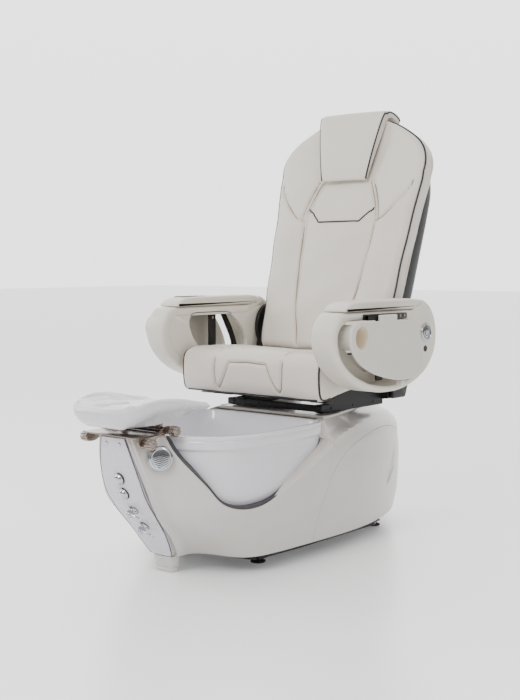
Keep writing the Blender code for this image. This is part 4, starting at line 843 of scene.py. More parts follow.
def make_footrest():
    outline_half = [(0.02, -0.966), (0.07, -0.965), (0.108, -0.95), (0.13, -0.915), (0.138, -0.86),
                    (0.145, -0.8), (0.15, -0.74), (0.153, -0.69), (0.15, -0.655), (0.128, -0.644),
                    (0.1, -0.653), (0.05, -0.664)]
    outline = even(bspline(whole(outline_half), 12), 260, closed=True)
    centre = np.array((0.0, -0.8))

    def top_height(x, y):
        t = (y - PAD_FRONT) / PAD_LENGTH
        ax = np.abs(x)
        edge = 0.0155 + 0.017 * hill(t - 0.36, 0.3) - 0.012 * ease(t, 0.62, 1.0)
        base = 0.5125 - 0.004 * t
        wing = ease(ax, 0.085, 0.15)
        valley = -0.006 * hill(ax, 0.016) * ease(t, 0.06, 0.2) * (1 - ease(t, 0.9, 1.0))
        toes = 0.0095 * (1 - ease(t, 0.47, 0.52)) * ease(ax, 0.012, 0.03) * (1 - ease(ax, 0.1, 0.12))
        toes = toes * ease(t, 0.02, 0.12)
        bed = -0.005 * hill((ax - 0.066) / 0.045, 1.0) * ease(t, 0.1, 0.25) * (1 - ease(t, 0.85, 1.0))
        return base + edge * wing + valley + toes + bed

    rings = []
    shares = np.r_[0.0, np.linspace(0.02, 0.9, 46), 0.925, 0.945, 0.962, 0.978, 0.99, 1.0]
    for share in shares:
        flat = centre + (outline - centre) * share
        z = top_height(flat[:, 0], flat[:, 1])
        roll = ease(share, 0.93, 1.0)
        z = z - 0.0075 * roll * roll
        rings.append(np.column_stack([flat, z]))
    edge = rings[-1]
    t = (edge[:, 1] - PAD_FRONT) / PAD_LENGTH
    thick = 0.013 + 0.038 * (1 - ease(t, 0.25, 0.95))
    low = edge[:, 2] - thick
    draw = 0.01 + 0.024 * (1 - ease(t, 0.35, 1.0))
    way = outline - centre
    way = way / np.linalg.norm(way, axis=1, keepdims=True)
    for down, pull, out in ((0.06, 0.0, 0.0012), (0.14, 0.0, 0.0024), (0.28, 0.02, 0.003), (0.45, 0.1, 0.0026),
                            (0.62, 0.26, 0.0014), (0.78, 0.48, 0.0), (0.9, 0.72, 0.0), (0.97, 0.9, 0.0),
                            (1.0, 1.06, 0.0)):
        flat = edge[:, :2] - way * (draw * pull)[:, None] + way * out
        rings.append(np.column_stack([flat, edge[:, 2] + (low - edge[:, 2]) * down]))
    last = rings[-1]
    for share in (0.9, 0.7, 0.45, 0.2):
        flat = centre + (last[:, :2] - centre) * share
        t_in = (flat[:, 1] - PAD_FRONT) / PAD_LENGTH
        z = np.minimum(last[:, 2], 0.459 + 0.036 * ease(t_in, 0.4, 0.98))
        rings.append(np.column_stack([flat, z]))
    pad = Shape().loft(rings)
    piece("footrest_pad_skin", pad, "footrest", "footrest", "footrest_pad", sharp=60.0)
    y, z = FOOTREST_TILT
    bar = Shape().tube(flow([(-0.102, y, z), (0.102, y, z)], 12), 0.0088, 28)
    for sign in (1.0, -1.0):
        bar.block((sign * 0.07 - 0.009, y - 0.0075, z - 0.0085), (sign * 0.07 + 0.009, y + 0.0075, 0.488), 0.002)
    piece("footrest_hinge_bar", bar, "steel", "footrest")


def make_bracket():
    top = 0.4295
    plate = Shape().block((-0.108, -0.915, top + 0.0003), (0.108, -0.7975, top + 0.0045), 0.0012)
    for sign in (1.0, -1.0):
        outline = even(bspline([(-0.905, top + 0.004), (-0.904, 0.406), (-0.89, 0.4015), (-0.868, 0.4015),
                                (-0.85, 0.412), (-0.822, 0.4302), (-0.776, 0.4304), (-0.768, 0.44),
                                (-0.776, 0.4545), (-0.8, 0.4545), (-0.826, 0.4375), (-0.84, top + 0.0042)], 8),
                       90, closed=True)
        inner, outer = sorted((sign * 0.1045, sign * 0.108))
        plate.plate(outline, inner, outer, edge=0.0008)
    piece("footrest_bracket", plate, "steel", "footrest_carriage", "footrest_carriage")
    for name, (y, z) in (("clamp_knob", CLAMP_KNOB), ("tilt_knob", FOOTREST_TILT)):
        knob = Shape().turned([(0.0, 0.0), (0.0085, 0.0), (0.0092, 0.001), (0.0092, 0.003), (0.007, 0.004),
                               (0.007, 0.009), (0.01, 0.0105)], (KNOB_FACE, y, z), (1, 0, 0), 48)
        knob.turned([(0.01, 0.01), (0.0145, 0.011), (0.0155, 0.0128), (0.0155, 0.019), (0.0146, 0.02),
                     (0.0155, 0.021), (0.0155, 0.033), (0.0146, 0.035), (0.012, 0.036), (0.0112, 0.035),
                     (0.008, 0.0348), (0.006, 0.036), (0.0, 0.0364)], (KNOB_FACE, y, z), (1, 0, 0), 96,
                    lobes=8, depth=0.16)
        pair(name + "_skin", knob, "steel", name + "_{}", name + "_{}", sharp=32.0)


# ---------------------------------------------------------------- seat


def make_rails():
    rail = Shape()
    profile = [(0.16, 0.4333), (0.192, 0.4333), (0.192, 0.459), (0.186, 0.459), (0.186, 0.439), (0.166, 0.439),
               (0.166, 0.459), (0.16, 0.459)]
    rail.loft([[(x, y, z) for x, z in profile] for y in np.linspace(-0.165, 0.175, 5)])
    for y in (-0.12, 0.0, 0.12):
        rail.turned([(0.0, 0.0), (0.0042, 0.0), (0.004, 0.0014), (0.002, 0.0018), (0.0, 0.0018)],
                    (0.192, y, 0.446), (1, 0, 0), 18)
    pair("seat_rail_skin", rail, "black_metal", "base", "seat_rail_{}")
    bar = Shape().block((-0.197, -0.184, 0.4385), (0.197, -0.1655, 0.459), 0.0014)
    for x in (-0.17, -0.06, 0.06, 0.17):
        bar.turned([(0.0, 0.0), (0.0046, 0.0), (0.0042, 0.0014), (0.0022, 0.0018), (0.0, 0.0018)],
                   (x, -0.184, 0.449), (0, -1, 0), 18)
    piece("rail_crossbar_skin", bar, "black_metal", "base", "rail_crossbar")


SEAT_HALF = 0.285
SEAT_PROFILE = [(-0.27, 0.487), (-0.297, 0.489), (-0.31, 0.506), (-0.3155, 0.55), (-0.314, 0.6),
                (-0.3, 0.624), (-0.262, 0.633), (-0.18, 0.6345), (-0.08, 0.631), (0.0, 0.623), (0.04, 0.612),
                (0.0435, 0.59), (0.0435, 0.53), (0.036, 0.5145), (-0.02, 0.5142), (-0.13, 0.5142),
                (-0.19, 0.506), (-0.23, 0.496)]


def seam_pinch(points, normals, seams, depth, width, bead=0.0):
    """Draws points in along seams, with a small bead beside them; seams are lines of points on the surface."""
    points = np.asarray(points, float)
    move = np.zeros(len(points))
    for seam in seams:
        seam = np.asarray(seam, float)
        reach = np.full(len(points), 1e9)
        for a, b in zip(seam, seam[1:]):
            way = b - a
            t = np.clip(((points - a) @ way) / max(way @ way, 1e-12), 0.0, 1.0)
            reach = np.minimum(reach, np.linalg.norm(points - a - t[:, None] * way, axis=1))
        move = np.minimum(move, -depth * hill(reach, width))
        move += bead * hill(reach - width * 2.0, width)
    return points + normals * move[:, None]


def surface_normals(thing):
    mesh = thing.data
    normals = np.zeros(len(mesh.vertices) * 3)
    mesh.vertex_normals.foreach_get("vector", normals)
    return normals.reshape(-1, 3)


def reshape(thing, points):
    thing.data.vertices.foreach_set("co", np.asarray(points, float).ravel())
    thing.data.update()


def positions(thing):
    points = np.zeros(len(thing.data.vertices) * 3)
    thing.data.vertices.foreach_get("co", points)
    return points.reshape(-1, 3)


def stitch_row(shape, path, tree, offset_side, pitch=0.0058):
    """Raised thread stitches along a line on a surface, a few millimetres to one side of it."""
    path = np.asarray(path, float)
    length = np.sum(np.linalg.norm(np.diff(path, axis=0), axis=1))
    count = max(3, int(length / pitch))
    dense = even(path, count * 2 + 1)
    for k in range(count):
        a, b = Vector(dense[2 * k]), Vector(dense[2 * k + 1])
        spot, normal, _, _ = tree.find_nearest((a + b) / 2 + Vector(SHIFT))
        if spot is None:
            continue
        way = (b - a).normalized()
        side = way.cross(normal).normalized()
        centre = (a + b) / 2 + side * offset_side
        spot, normal, _, _ = tree.find_nearest(centre + Vector(SHIFT))
        spot = spot - Vector(SHIFT)
        rings = []
        for t, r in ((-0.5, 0.0002), (-0.4, 0.00055), (0.0, 0.0007), (0.4, 0.00055), (0.5, 0.0002)):
            middle = spot + way * (t * pitch * 0.62) + normal * 0.0002
            rings.append([tuple(middle + side * (r * math.cos(q)) + normal * (r * math.sin(q)))
                          for q in (math.tau * j / 6 for j in range(6))])
        shape.loft(rings)


def surface_tree(thing):
    bpy.context.view_layer.update()
    return BVHTree.FromObject(thing, bpy.context.evaluated_depsgraph_get())


def laid(path, tree, lift):
    """A path laid on a surface, lifted along its normals."""
    result = []
    for p in np.asarray(path, float):
        spot, normal, _, _ = tree.find_nearest(Vector(p) + Vector(SHIFT))
        result.append(tuple(spot - Vector(SHIFT) + normal * lift))
    return result


def make_seat():
    profile = even(bspline(SEAT_PROFILE, 12), 230, closed=True)
    middle = np.array((-0.13, 0.567))
    inset_steps = [(0.0, 0.016), (0.001, 0.0095), (0.003, 0.005), (0.0062, 0.002), (0.01, 0.0005)]
    half_columns = [(SEAT_HALF - off, inset) for off, inset in inset_steps] + \
                   [(x, 0.0) for x in np.linspace(SEAT_HALF - 0.0145, 0.0, 62)]
    columns = [(-x, i) for x, i in half_columns] + [(x, i) for x, i in reversed(half_columns[:-1])]
    rings = []
    for share in (0.05, 0.25, 0.45, 0.62, 0.76, 0.87):
        ring = middle + (inward(profile, 0.016) - middle) * share
        bulge = 0.0035 * (1 - share ** 2)
        rings.append(np.column_stack([np.full(len(ring), -(SEAT_HALF + bulge)), ring]))
    side_rings = len(rings)
    for x, inset in columns:
        ring = inward(profile, inset)
        crown = 0.007 * (1 - (x / SEAT_HALF) ** 2)
        top = ease(ring[:, 1], 0.6, 0.632)
        front = ease(-ring[:, 0], 0.295, 0.312) * ease(ring[:, 1], 0.49, 0.53)
        dish = -0.009 * hill(x / 0.17, 1.0) * ease(ring[:, 0], -0.25, -0.12) * (1 - ease(ring[:, 0], 0.0, 0.04))
        rings.append(np.column_stack([np.full(len(ring), x), ring[:, 0] - 0.57 * crown * front,
                                      ring[:, 1] + (crown * 0.6 + dish) * top]))
    for k in range(side_rings):
        rings.append(rings[side_rings - 1 - k] * (-1.0, 1.0, 1.0))
    shape = Shape().loft(rings)
    cushion = make_object("seat_leather", shape, [LOOKS["leather"]], 70.0)
    tree = surface_tree(cushion)

    def front_line(points):
        return laid([(x, -0.33, z) for x, z in even(points, 40)], tree, 0.0)

    def top_line(points):
        return laid([(x, y, 0.65) for x, y in even(points, 60)], tree, 0.0)

    seams = []
    for sign in (1.0, -1.0):
        for line in ([(0.14, 0.612), (0.141, 0.56), (0.137, 0.515), (0.126, 0.493)],
                     [(0.076, 0.596), (0.096, 0.55), (0.118, 0.507), (0.126, 0.493)]):
            seams.append(front_line([(sign * x, z) for x, z in line]))
        seams.append(top_line(flow([(sign * 0.14, -0.3), (sign * 0.15, -0.24), (sign * 0.175, -0.12),
                                    (sign * 0.19, 0.03)], 40)))
        seams.append(top_line([(sign * 0.15, -0.262), (sign * 0.283, -0.205)]))
    seams.append(front_line([(-0.076, 0.596), (0.0, 0.6), (0.076, 0.596)]))
    seams.append(top_line([(-0.15, -0.255), (0.0, -0.268), (0.15, -0.255)]))
    sunk = [laid(line, tree, -0.0062) for line in seams]
    world_seams = [np.asarray(s) + SHIFT for s in seams]
    points, normals = positions(cushion), surface_normals(cushion)
    points = seam_pinch(points, normals, world_seams, 0.007, 0.005, 0.001)
    low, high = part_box("seat_cushion")
    x, y = points[:, 0], points[:, 1]
    soft = 0.35 * np.sin(x * 41 + y * 23) + 0.35 * np.sin(y * 57 - x * 19 + 1.3)
    points = points + normals * (0.0016 * soft)[:, None]
    points[:, 2] = np.clip(points[:, 2], low[2] - 0.001, high[2] + 0.014)
    reshape(cushion, points)
    finish_shading(cushion, 70.0)
    register(cushion, "seat", "leather", "seat_cushion")
    tree = surface_tree(cushion)
    thread = Shape()
    for seam in seams:
        for side in (0.0034, -0.0034):
            stitch_row(thread, seam, tree, side)
    piece("seat_stitching", thread, "thread", "seat")
    # Darker leather tubes in the bottoms of the seam creases: painted shade that deepens the creases.
    seam_shade = Shape()
    for seam in sunk:
        seam_shade.tube(seam, 0.0019, 6)
    piece("seat_seam_shade", seam_shade, "seam", "seat")
    piping = Shape()
    for sign in (1.0, -1.0):
        edge = inward(profile, 0.0035)
        keep = [p for p in edge if not (p[0] > -0.25 and p[1] < 0.56) and p[0] < 0.043]
        start = min(range(len(keep)), key=lambda i: (keep[i][1] - keep[i][0] * 0.01))
        keep = keep[start:] + keep[:start]
        path = laid([(sign * (SEAT_HALF + 0.001), a, b) for a, b in keep], tree, 0.0008)
        jumps = [math.dist(path[i], path[i - 1]) for i in range(1, len(path))]
        if max(jumps) > 0.05:
            cut = jumps.index(max(jumps)) + 1
            path = path[cut:] + path[:cut]
        piping.tube(even(path, 150), 0.0032, 8)
    bottom = laid([(x, -0.306, 0.486) for x in np.linspace(-0.27, 0.27, 60)], tree, 0.0006)
    piping.tube(bottom, 0.003, 8)
    piece("seat_piping", piping, "piping", "seat")


# ---------------------------------------------------------------- back
BACK_LEAN = math.radians(17.0)
BACK_FACE = (0.207, 1.111)


def back_place(x, s, depth):
    y = BACK_FACE[0] + s * math.sin(BACK_LEAN) + depth * math.cos(BACK_LEAN)
    z = BACK_FACE[1] + s * math.cos(BACK_LEAN) - depth * math.sin(BACK_LEAN)
    return (x, y, z)


def back_places(x, s, depth):
    x, s, depth = np.broadcast_arrays(np.asarray(x, float), s, depth)
    return np.column_stack([x, BACK_FACE[0] + s * math.sin(BACK_LEAN) + depth * math.cos(BACK_LEAN),
                            BACK_FACE[1] + s * math.cos(BACK_LEAN) - depth * math.sin(BACK_LEAN)])


BACK_SIDE = [(-0.518, 0.244), (-0.48, 0.257), (-0.33, 0.27), (-0.15, 0.279), (0.01, 0.292), (0.09, 0.302)]
BACK_BOTTOM, BACK_TOP = -0.518, 0.3175
CHANNEL = [(-0.518, 0.08), (-0.458, 0.089), (-0.36, 0.113), (-0.21, 0.131), (-0.058, 0.141), (-0.012, 0.133),
           (0.04, 0.114), (0.085, 0.096), (0.2, 0.11), (0.32, 0.13)]


def back_half(s):
    side = flow(BACK_SIDE, 60)
    arch = 0.304 * np.sqrt(np.clip(1 - ((np.asarray(s) - 0.14) / 0.18) ** 2, 0.0, 1.0))
    return np.where(np.asarray(s) > 0.115, arch, np.minimum(np.interp(s, side[:, 0], side[:, 1]), 0.304))


def channel_half(s):
    line = flow(CHANNEL, 90)
    return np.interp(s, line[:, 0], line[:, 1])


def back_depth(x, s):
    """How far the cushion's face stands behind its reference plane; negative is forwards."""
    ax = np.abs(x)
    outer, inner = back_half(s), channel_half(s)
    centre = -0.006 - 0.01 * (1 - (ax / np.maximum(inner, 1e-6)) ** 2) * (1 - ease(s, -0.05, 0.02))
    share = np.clip((ax - inner) / np.maximum(outer - inner, 1e-6), 0.0, 1.0)
    bolster = -0.006 - 0.016 * np.sin(math.pi * np.minimum(share * 0.78 + 0.06, 1.0)) + 0.004 * share
    face = np.where(ax < inner, centre, bolster)
    lumbar = -0.008 * hill((s + 0.36) / 0.12, 1.0) * (1 - ease(ax, 0.0, 0.3))
    return face + lumbar


def make_back():
    s_rows = np.r_[BACK_BOTTOM, BACK_BOTTOM + 0.003, BACK_BOTTOM + 0.008, np.linspace(-0.504, 0.3, 190), 0.305, 0.31,
                   0.314, BACK_TOP]
    inner_shares = np.r_[np.linspace(0.0, 0.93, 15), 0.955, 0.972, 0.984, 0.993, 1.0]
    outer_shares = np.r_[0.007, 0.018, 0.034, 0.055, np.linspace(0.09, 0.93, 20), 0.955, 0.972, 0.986, 0.995, 1.0]
    rows = []
    for s in s_rows:
        inner, outer = float(channel_half(s)), float(back_half(s))
        inner = min(inner, outer * 0.6)
        xs = np.r_[inner_shares * inner, inner + (outer - inner) * outer_shares]
        xs = np.r_[-xs[:0:-1], xs]
        depth = back_depth(xs, s)
        edge = np.minimum(outer - np.abs(xs), min(s - BACK_BOTTOM, 0.2))
        edge = np.minimum(edge, max(0.0, 0.32 - s) * 1.2)
        roll = 0.022 * (1 - np.sqrt(np.clip(1 - (1 - np.clip(edge / 0.026, 0, 1)) ** 2, 0.0, 1.0)))
        rows.append(back_places(xs, s, np.minimum(depth + roll, 0.01)))
    rows = np.array(rows)
    way = np.array(back_place(0.0, 0.0, 1.0)) - np.array(back_place(0.0, 0.0, 0.0))
    origin = np.array(back_place(0.0, 0.0, 0.0))
    rear = rows - ((rows - origin) @ way)[..., None] * way + way * 0.055
    count_rows, count_columns = rows.shape[:2]
    shape = Shape()
    shape.grid(rows)
    shape.grid(rear[:, ::-1])
    loop = [(r, 0) for r in range(count_rows)] + [(count_rows - 1, c) for c in range(1, count_columns)] + \
           [(r, count_columns - 1) for r in range(count_rows - 2, -1, -1)] + \
           [(0, c) for c in range(count_columns - 2, 0, -1)]
    front_loop = np.array([rows[r, c] for r, c in loop])
    rear_loop = np.array([rear[r, c] for r, c in loop])
    centre = np.array(back_place(0.0, -0.1, 0.03))
    band = []
    for t in np.r_[0.0, np.linspace(0.06, 0.94, 9), 1.0]:
        ring = front_loop + (rear_loop - front_loop) * t
        out = ring - centre
        out = out - (out @ way)[:, None] * way
        out /= np.linalg.norm(out, axis=1, keepdims=True)
        band.append(ring + out * (0.0022 * math.sin(math.pi * t)))
    shape.grid(band, wrap_columns=True)
    cushion = make_object("back_leather", shape, [LOOKS["leather"]], 62.0, weld=2e-5)

    tree = surface_tree(cushion)

    def seam(points, count):
        return laid([back_place(x, s, -0.05) for x, s in flow(points, count)], tree, 0.0)

    seams = []
    for sign in (1.0, -1.0):
        seams.append(seam([(sign * x, s) for s, x in CHANNEL[:5]], 110))
        for line, count in (([(0.141, -0.058), (0.133, -0.012), (0.114, 0.04), (0.097, 0.085)], 50),
                            ([(0.141, -0.058), (0.185, -0.04), (0.24, 0.01), (0.297, 0.082)], 70),
                            ([(0.154, -0.058), (0.147, -0.01), (0.127, 0.045), (0.11, 0.09)], 50)):
            seams.append(seam([(sign * x, s) for x, s in line], count))
    hexagon = [(-0.131, -0.012), (-0.091, -0.06), (0.091, -0.06), (0.131, -0.012)]
    lower = laid([back_place(x, s, -0.05) for x, s in even(hexagon, 90)], tree, 0.0)
    sunk = [laid(line, tree, -0.0066) for line in seams]
    points, normals = positions(cushion), surface_normals(cushion)
    world = [np.asarray(line) + SHIFT for line in seams]
    points = seam_pinch(points, normals, world, 0.0075, 0.0052, 0.0012)
    points = seam_pinch(points, normals, [np.asarray(lower) + SHIFT], 0.0022, 0.004)
    soft = np.sin(points[:, 0] * 31 + points[:, 2] * 17) + np.sin(points[:, 2] * 39 - points[:, 0] * 23 + 0.7)
    points = points + normals * (0.0012 * soft)[:, None]
    reshape(cushion, points)
    finish_shading(cushion, 62.0)
    register(cushion, "back", "leather", "back_cushion")
    tree = surface_tree(cushion)
    thread = Shape()
    for line in seams:
        for side in (0.0036, -0.0036):
            stitch_row(thread, line, tree, side)
    piece("back_stitching", thread, "thread", "back")
    # Darker leather tubes in the bottoms of the seam creases: painted shade that deepens the creases.
    seam_shade = Shape()
    for line in sunk:
        seam_shade.tube(line, 0.0019, 6)
    piece("back_seam_shade", seam_shade, "seam", "back")
    piping = Shape()
    edge = [(float(back_half(s)), s) for s in np.r_[np.linspace(-0.5, 0.3, 120), 0.307, 0.312, 0.316]]
    edge += [(0.02, 0.3195)]
    whole_edge = edge + [(-x, s) for x, s in reversed(edge)]
    path = [back_place(x * 0.9985, s, 0.0065) for x, s in whole_edge]
    path = laid(path, tree, 0.0016)
    piping.tube(even(path, 420), 0.0034, 8)
    piping.tube(laid(lower, tree, 0.0012), 0.0025, 8)
    piece("back_piping", piping, "piping", "back")
    rim = Shape()
    path = [back_place(x * 1.001, s, 0.0535) for x, s in whole_edge]
    rim.tube(even(path, 420), 0.0018, 8)
    piece("back_rear_piping", rim, "leather", "back")


def make_pillow():
    """A wedge pad that hangs over the top of the back."""
    profile = flow([(0.086, -0.02), (0.089, -0.0275), (0.12, -0.0355), (0.2, -0.0465), (0.28, -0.051),
                    (0.318, -0.046), (0.334, -0.028), (0.3385, 0.0), (0.337, 0.03), (0.332, 0.05),
                    (0.32, 0.058)], 90)
    under = flow([(0.3195, 0.056), (0.3215, 0.03), (0.3215, -0.001), (0.312, -0.013), (0.2, -0.019),
                  (0.092, -0.02)], 60)
    loop = np.vstack([profile, under])
    shares = np.r_[-1.0, -0.992, -0.975, -0.95, np.linspace(-0.91, 0.91, 40), 0.95, 0.975, 0.992, 1.0]
    rings = []
    middle = np.array([np.interp(loop[:, 0], under[::-1, 0], under[::-1, 1])]).T
    for share in shares:
        edge = 1 - math.sqrt(max(0.0, 1 - max(0.0, (abs(share) - 0.93) / 0.07) ** 2))
        ring = []
        for (s, depth), base in zip(loop, middle[:, 0]):
            half = 0.093 + (0.135 - 0.093) * np.clip((s - 0.086) / 0.235, 0.0, 1.0)
            crown = 0.005 * (1 - share * share)
            forward = depth - crown * float(ease(-depth, -0.01, 0.03))
            forward += (base - forward) * 0.16 * edge * float(ease(base - depth, 0.0, 0.014))
            ring.append(back_place(share * half, s, forward))
        rings.append(ring)
    shape = Shape().loft(rings)
    pillow = piece("head_pillow_leather", shape, "leather", "back", "head_pillow", sharp=60.0)
    tree = surface_tree(pillow)
    piping = Shape()
    for ring in (rings[0], rings[-1]):
        piping.tube(even(np.array(ring[2:len(profile) - 2]), 140), 0.0031, 8)
    piece("pillow_piping", piping, "piping", "back")


def make_back_shell():
    """The black moulded shell behind the cushion, with upright ribs."""
    half = [(0.255, -0.435), (0.268, -0.33), (0.272, -0.2), (0.278, 0.0), (0.276, 0.1), (0.24, 0.185),
            (0.17, 0.232), (0.08, 0.252)]
    outline = even(bspline([(0.06, -0.437), (0.17, -0.436)] + half + [(-x, s) for x, s in reversed(half)]
                           + [(-0.17, -0.436), (-0.06, -0.437)], 10), 300, closed=True)
    middle = np.array((0.0, -0.1))
    columns = len(outline)
    rings = []
    for inset, depth in ((0.0, 0.0556), (-0.002, 0.066), (-0.002, 0.086), (0.0, 0.104), (0.004, 0.119), (0.014, 0.131),
                         (0.03, 0.138)):
        rings.append((inward(outline, inset), np.full(columns, depth)))
    base = rings[-1][0]
    for share in np.linspace(0.94, 0.0005, 27):
        flat = middle + (base - middle) * share
        rib = 0.0035 * ease(np.cos(flat[:, 0] / 0.0205), 0.1, 0.7) * ease(0.94 - share, 0.02, 0.1)
        rings.append((flat, np.full(columns, 0.1385) + rib))
    for share in (0.0005, 0.5, 0.94):
        rings.append((middle + (base - middle) * share, np.full(columns, 0.1355)))
    for inset, depth in ((0.03, 0.127), (0.018, 0.116), (0.0095, 0.102), (0.0055, 0.085), (0.0035, 0.0556)):
        rings.append((inward(outline, inset), np.full(columns, depth)))
    rows = [back_places(flat[:, 0], flat[:, 1], depth) for flat, depth in rings]
    shape = Shape().grid(rows, wrap_rows=True, wrap_columns=True)
    piece("back_shell_skin", shape, "black_plastic", "back", "back_shell", sharp=50.0)


# ---------------------------------------------------------------- arms
ARM_OUTLINE = [(-0.3, 0.765), (-0.338, 0.765), (-0.352, 0.756), (-0.38, 0.728), (-0.389, 0.685), (-0.376, 0.635),
               (-0.336, 0.588), (-0.28, 0.551), (-0.2, 0.522), (-0.11, 0.5085), (-0.02, 0.5085), (0.067, 0.526),
               (0.142, 0.561), (0.192, 0.618), (0.205, 0.675), (0.194, 0.732), (0.164, 0.775), (0.13, 0.7945),
               (0.104, 0.796), (0.09, 0.788), (0.07, 0.765)]
POCKET = [(-0.31, 0.742), (-0.34, 0.728), (-0.362, 0.7), (-0.354, 0.645), (-0.318, 0.602), (-0.265, 0.569),
          (-0.19, 0.542), (-0.105, 0.53), (-0.015, 0.531), (0.04, 0.545), (0.052, 0.6), (0.045, 0.68),
          (0.015, 0.742)]
WINDOW = [(-0.245, 0.742), (-0.055, 0.742), (0.004, 0.7), (0.045, 0.65), (0.035, 0.58), (-0.12, 0.566),
          (-0.185, 0.6), (-0.245, 0.665), (-0.262, 0.715)]
TRAY_OUTLINE = [(-0.042, 0.738), (-0.318, 0.738), (-0.342, 0.718), (-0.349, 0.69), (-0.337, 0.655), (-0.305, 0.62),
                (-0.262, 0.595), (-0.205, 0.574), (-0.14, 0.558), (-0.08, 0.549), (-0.02, 0.549), (0.03, 0.563),
                (0.056, 0.592), (0.054, 0.625), (0.036, 0.665), (0.01, 0.705), (-0.012, 0.728)]
ARM_CENTRE = np.array((-0.11, 0.655))
ARM_INNER, ARM_OUTER, POCKET_FLOOR = 0.304, 0.39, 0.324
ARM_PIVOT = (0.127, 0.689)
CUP_CENTRE = np.array((-0.288, 0.691))


def cornered(outline, radius=0.012):
    """A closed outline with small round corners, kept close to its polygon."""
    corners = [np.array(p, float) for p in outline]
    count = len(corners)
    line = []
    for i in range(count):
        before, here, after = corners[i - 1], corners[i], corners[(i + 1) % count]
        start = here + (before - here) * min(0.48, radius / np.linalg.norm(before - here))
        end = here + (after - here) * min(0.48, radius / np.linalg.norm(after - here))
        for t in np.linspace(0, 1, 9):
            line.append((1 - t) ** 2 * start + 2 * t * (1 - t) * here + t * t * end)
    return np.array(line)


def make_arms():
    columns = 300
    arm_line = even(cornered(ARM_OUTLINE, 0.03), columns * 4, closed=True)
    angles, unit = spokes(columns)

    def ring(outline, inset, x):
        reach = polar(inward(outline, inset), ARM_CENTRE, angles)
        flat = ARM_CENTRE + unit * reach[:, None]
        return np.column_stack([np.full(columns, x), flat])

    pocket = even(cornered(POCKET, 0.026), columns * 4, closed=True)
    window = even(cornered(WINDOW, 0.026), columns * 4, closed=True)
    levels = [(window, -0.001, ARM_INNER), (window, -0.004, ARM_INNER), (arm_line, 0.029, ARM_INNER),
              (arm_line, 0.0282, ARM_INNER + 0.0014), (arm_line, 0.0268, ARM_INNER + 0.0014),
              (arm_line, 0.026, ARM_INNER)]
    levels += [(arm_line, inset, ARM_INNER + off) for inset, off in (
        (0.016, 0.0002), (0.01, 0.001), (0.006, 0.0026), (0.0028, 0.0054), (0.0008, 0.0092), (0.0, 0.013),
        (0.0, 0.04), (0.0, 0.066))]
    levels += [(arm_line, inset, ARM_OUTER - off) for inset, off in (
        (0.0006, 0.0145), (0.002, 0.01), (0.0046, 0.0058), (0.0078, 0.0026), (0.0115, 0.0008), (0.015, 0.0))]
    levels += [(pocket, inset, ARM_OUTER - off) for inset, off in (
        (-0.005, 0.0), (-0.002, 0.0006), (-0.0004, 0.0022), (0.0, 0.0048))]
    levels += [(pocket, 0.0006, 0.356), (pocket, 0.0012, POCKET_FLOOR + 0.004), (pocket, 0.004, POCKET_FLOOR + 0.0006),
               (pocket, 0.008, POCKET_FLOOR), (window, -0.003, POCKET_FLOOR), (window, -0.0006, POCKET_FLOOR - 0.0016),
               (window, 0.0, POCKET_FLOOR - 0.004), (window, 0.0, ARM_INNER + 0.003)]
    rings = [ring(*level) for level in levels]
    arm = Shape().grid(rings, wrap_rows=True, wrap_columns=True)
    pair("arm_skin", arm, "ivory", "arm_{}", "arm_shell_{}", sharp=55.0)
    make_lids()
    disc = Shape().turned([(0.0, 0.0), (0.03, 0.0), (0.031, 0.001), (0.0306, 0.003), (0.029, 0.0042), (0.0272, 0.0044),
                           (0.0262, 0.0034), (0.025, 0.0034), (0.024, 0.0042), (0.016, 0.0056), (0.008, 0.0062),
                           (0.0, 0.0064)], (ARM_OUTER + 0.0003, *ARM_PIVOT), (1, 0, 0), 64)
    pair("arm_disc", disc, "chrome", "arm_{}", "arm_cap_{}", sharp=30.0)
    inlay = Shape()
    for radius, thick in ((0.0208, 0.0014), (0.0125, 0.001)):
        lift = 0.0047 if radius > 0.015 else 0.0058
        turns = [math.tau * k / 72 for k in range(72)]
        level = ARM_OUTER + 0.0003 + lift
        inlay.tube([(level, ARM_PIVOT[0] + radius * math.cos(a), ARM_PIVOT[1] + radius * math.sin(a)) for a in turns],
                   thick, 8, closed=True)
    pair("arm_disc_inlay", inlay, "black_plastic", "arm_{}")
    plug = Shape().turned([(0.0, -0.002), (0.01, -0.002), (0.0104, 0.0006), (0.0096, 0.0016), (0.008, 0.0018),
                           (0.0072, 0.0006), (0.0, 0.0004)], (ARM_OUTER, 0.125, 0.635), (1, 0, 0), 40)
    pair("arm_plug", plug, "black_plastic", "arm_{}")


def make_lids():
    line = [(-0.318, 0.7662), (0.098, 0.7662), (0.104, 0.772), (0.1035, 0.79), (0.096, 0.7965), (0.06, 0.7995),
            (-0.06, 0.7995), (-0.2, 0.7985), (-0.272, 0.7965), (-0.296, 0.788), (-0.318, 0.774)]
    outline = even(cornered(line, 0.01), 260, closed=True)
    levels = ((0.01, ARM_INNER - 0.001), (0.006, ARM_INNER - 0.0008), (0.0026, ARM_INNER + 0.0006),
              (0.0007, ARM_INNER + 0.003), (0.0, ARM_INNER + 0.006), (-0.0006, 0.345), (0.0, ARM_OUTER - 0.011),
              (0.001, ARM_OUTER - 0.007), (0.003, ARM_OUTER - 0.0044), (0.006, ARM_OUTER - 0.0034),
              (0.0095, ARM_OUTER - 0.0032))
    pair("arm_lid_skin", Shape().stacked(outline, levels, "YZ"), "ivory", "arm_{}", "arm_lid_{}", sharp=50.0)
    keys = Shape()
    keys.block((-0.374, -0.262, 0.796), (-0.322, -0.15, 0.7994), 0.0012)
    piece("keypad_plate", keys, "black_plastic", "arm_right")
    caps = Shape()
    for row in range(6):
        for column in range(3):
            x, y = -0.364 + column * 0.016, -0.252 + row * 0.018
            caps.block((x - 0.0048, y - 0.005, 0.799), (x + 0.0048, y + 0.005, 0.8008), 0.0006)
    piece("keypad_keys", caps, "steel", "arm_right")


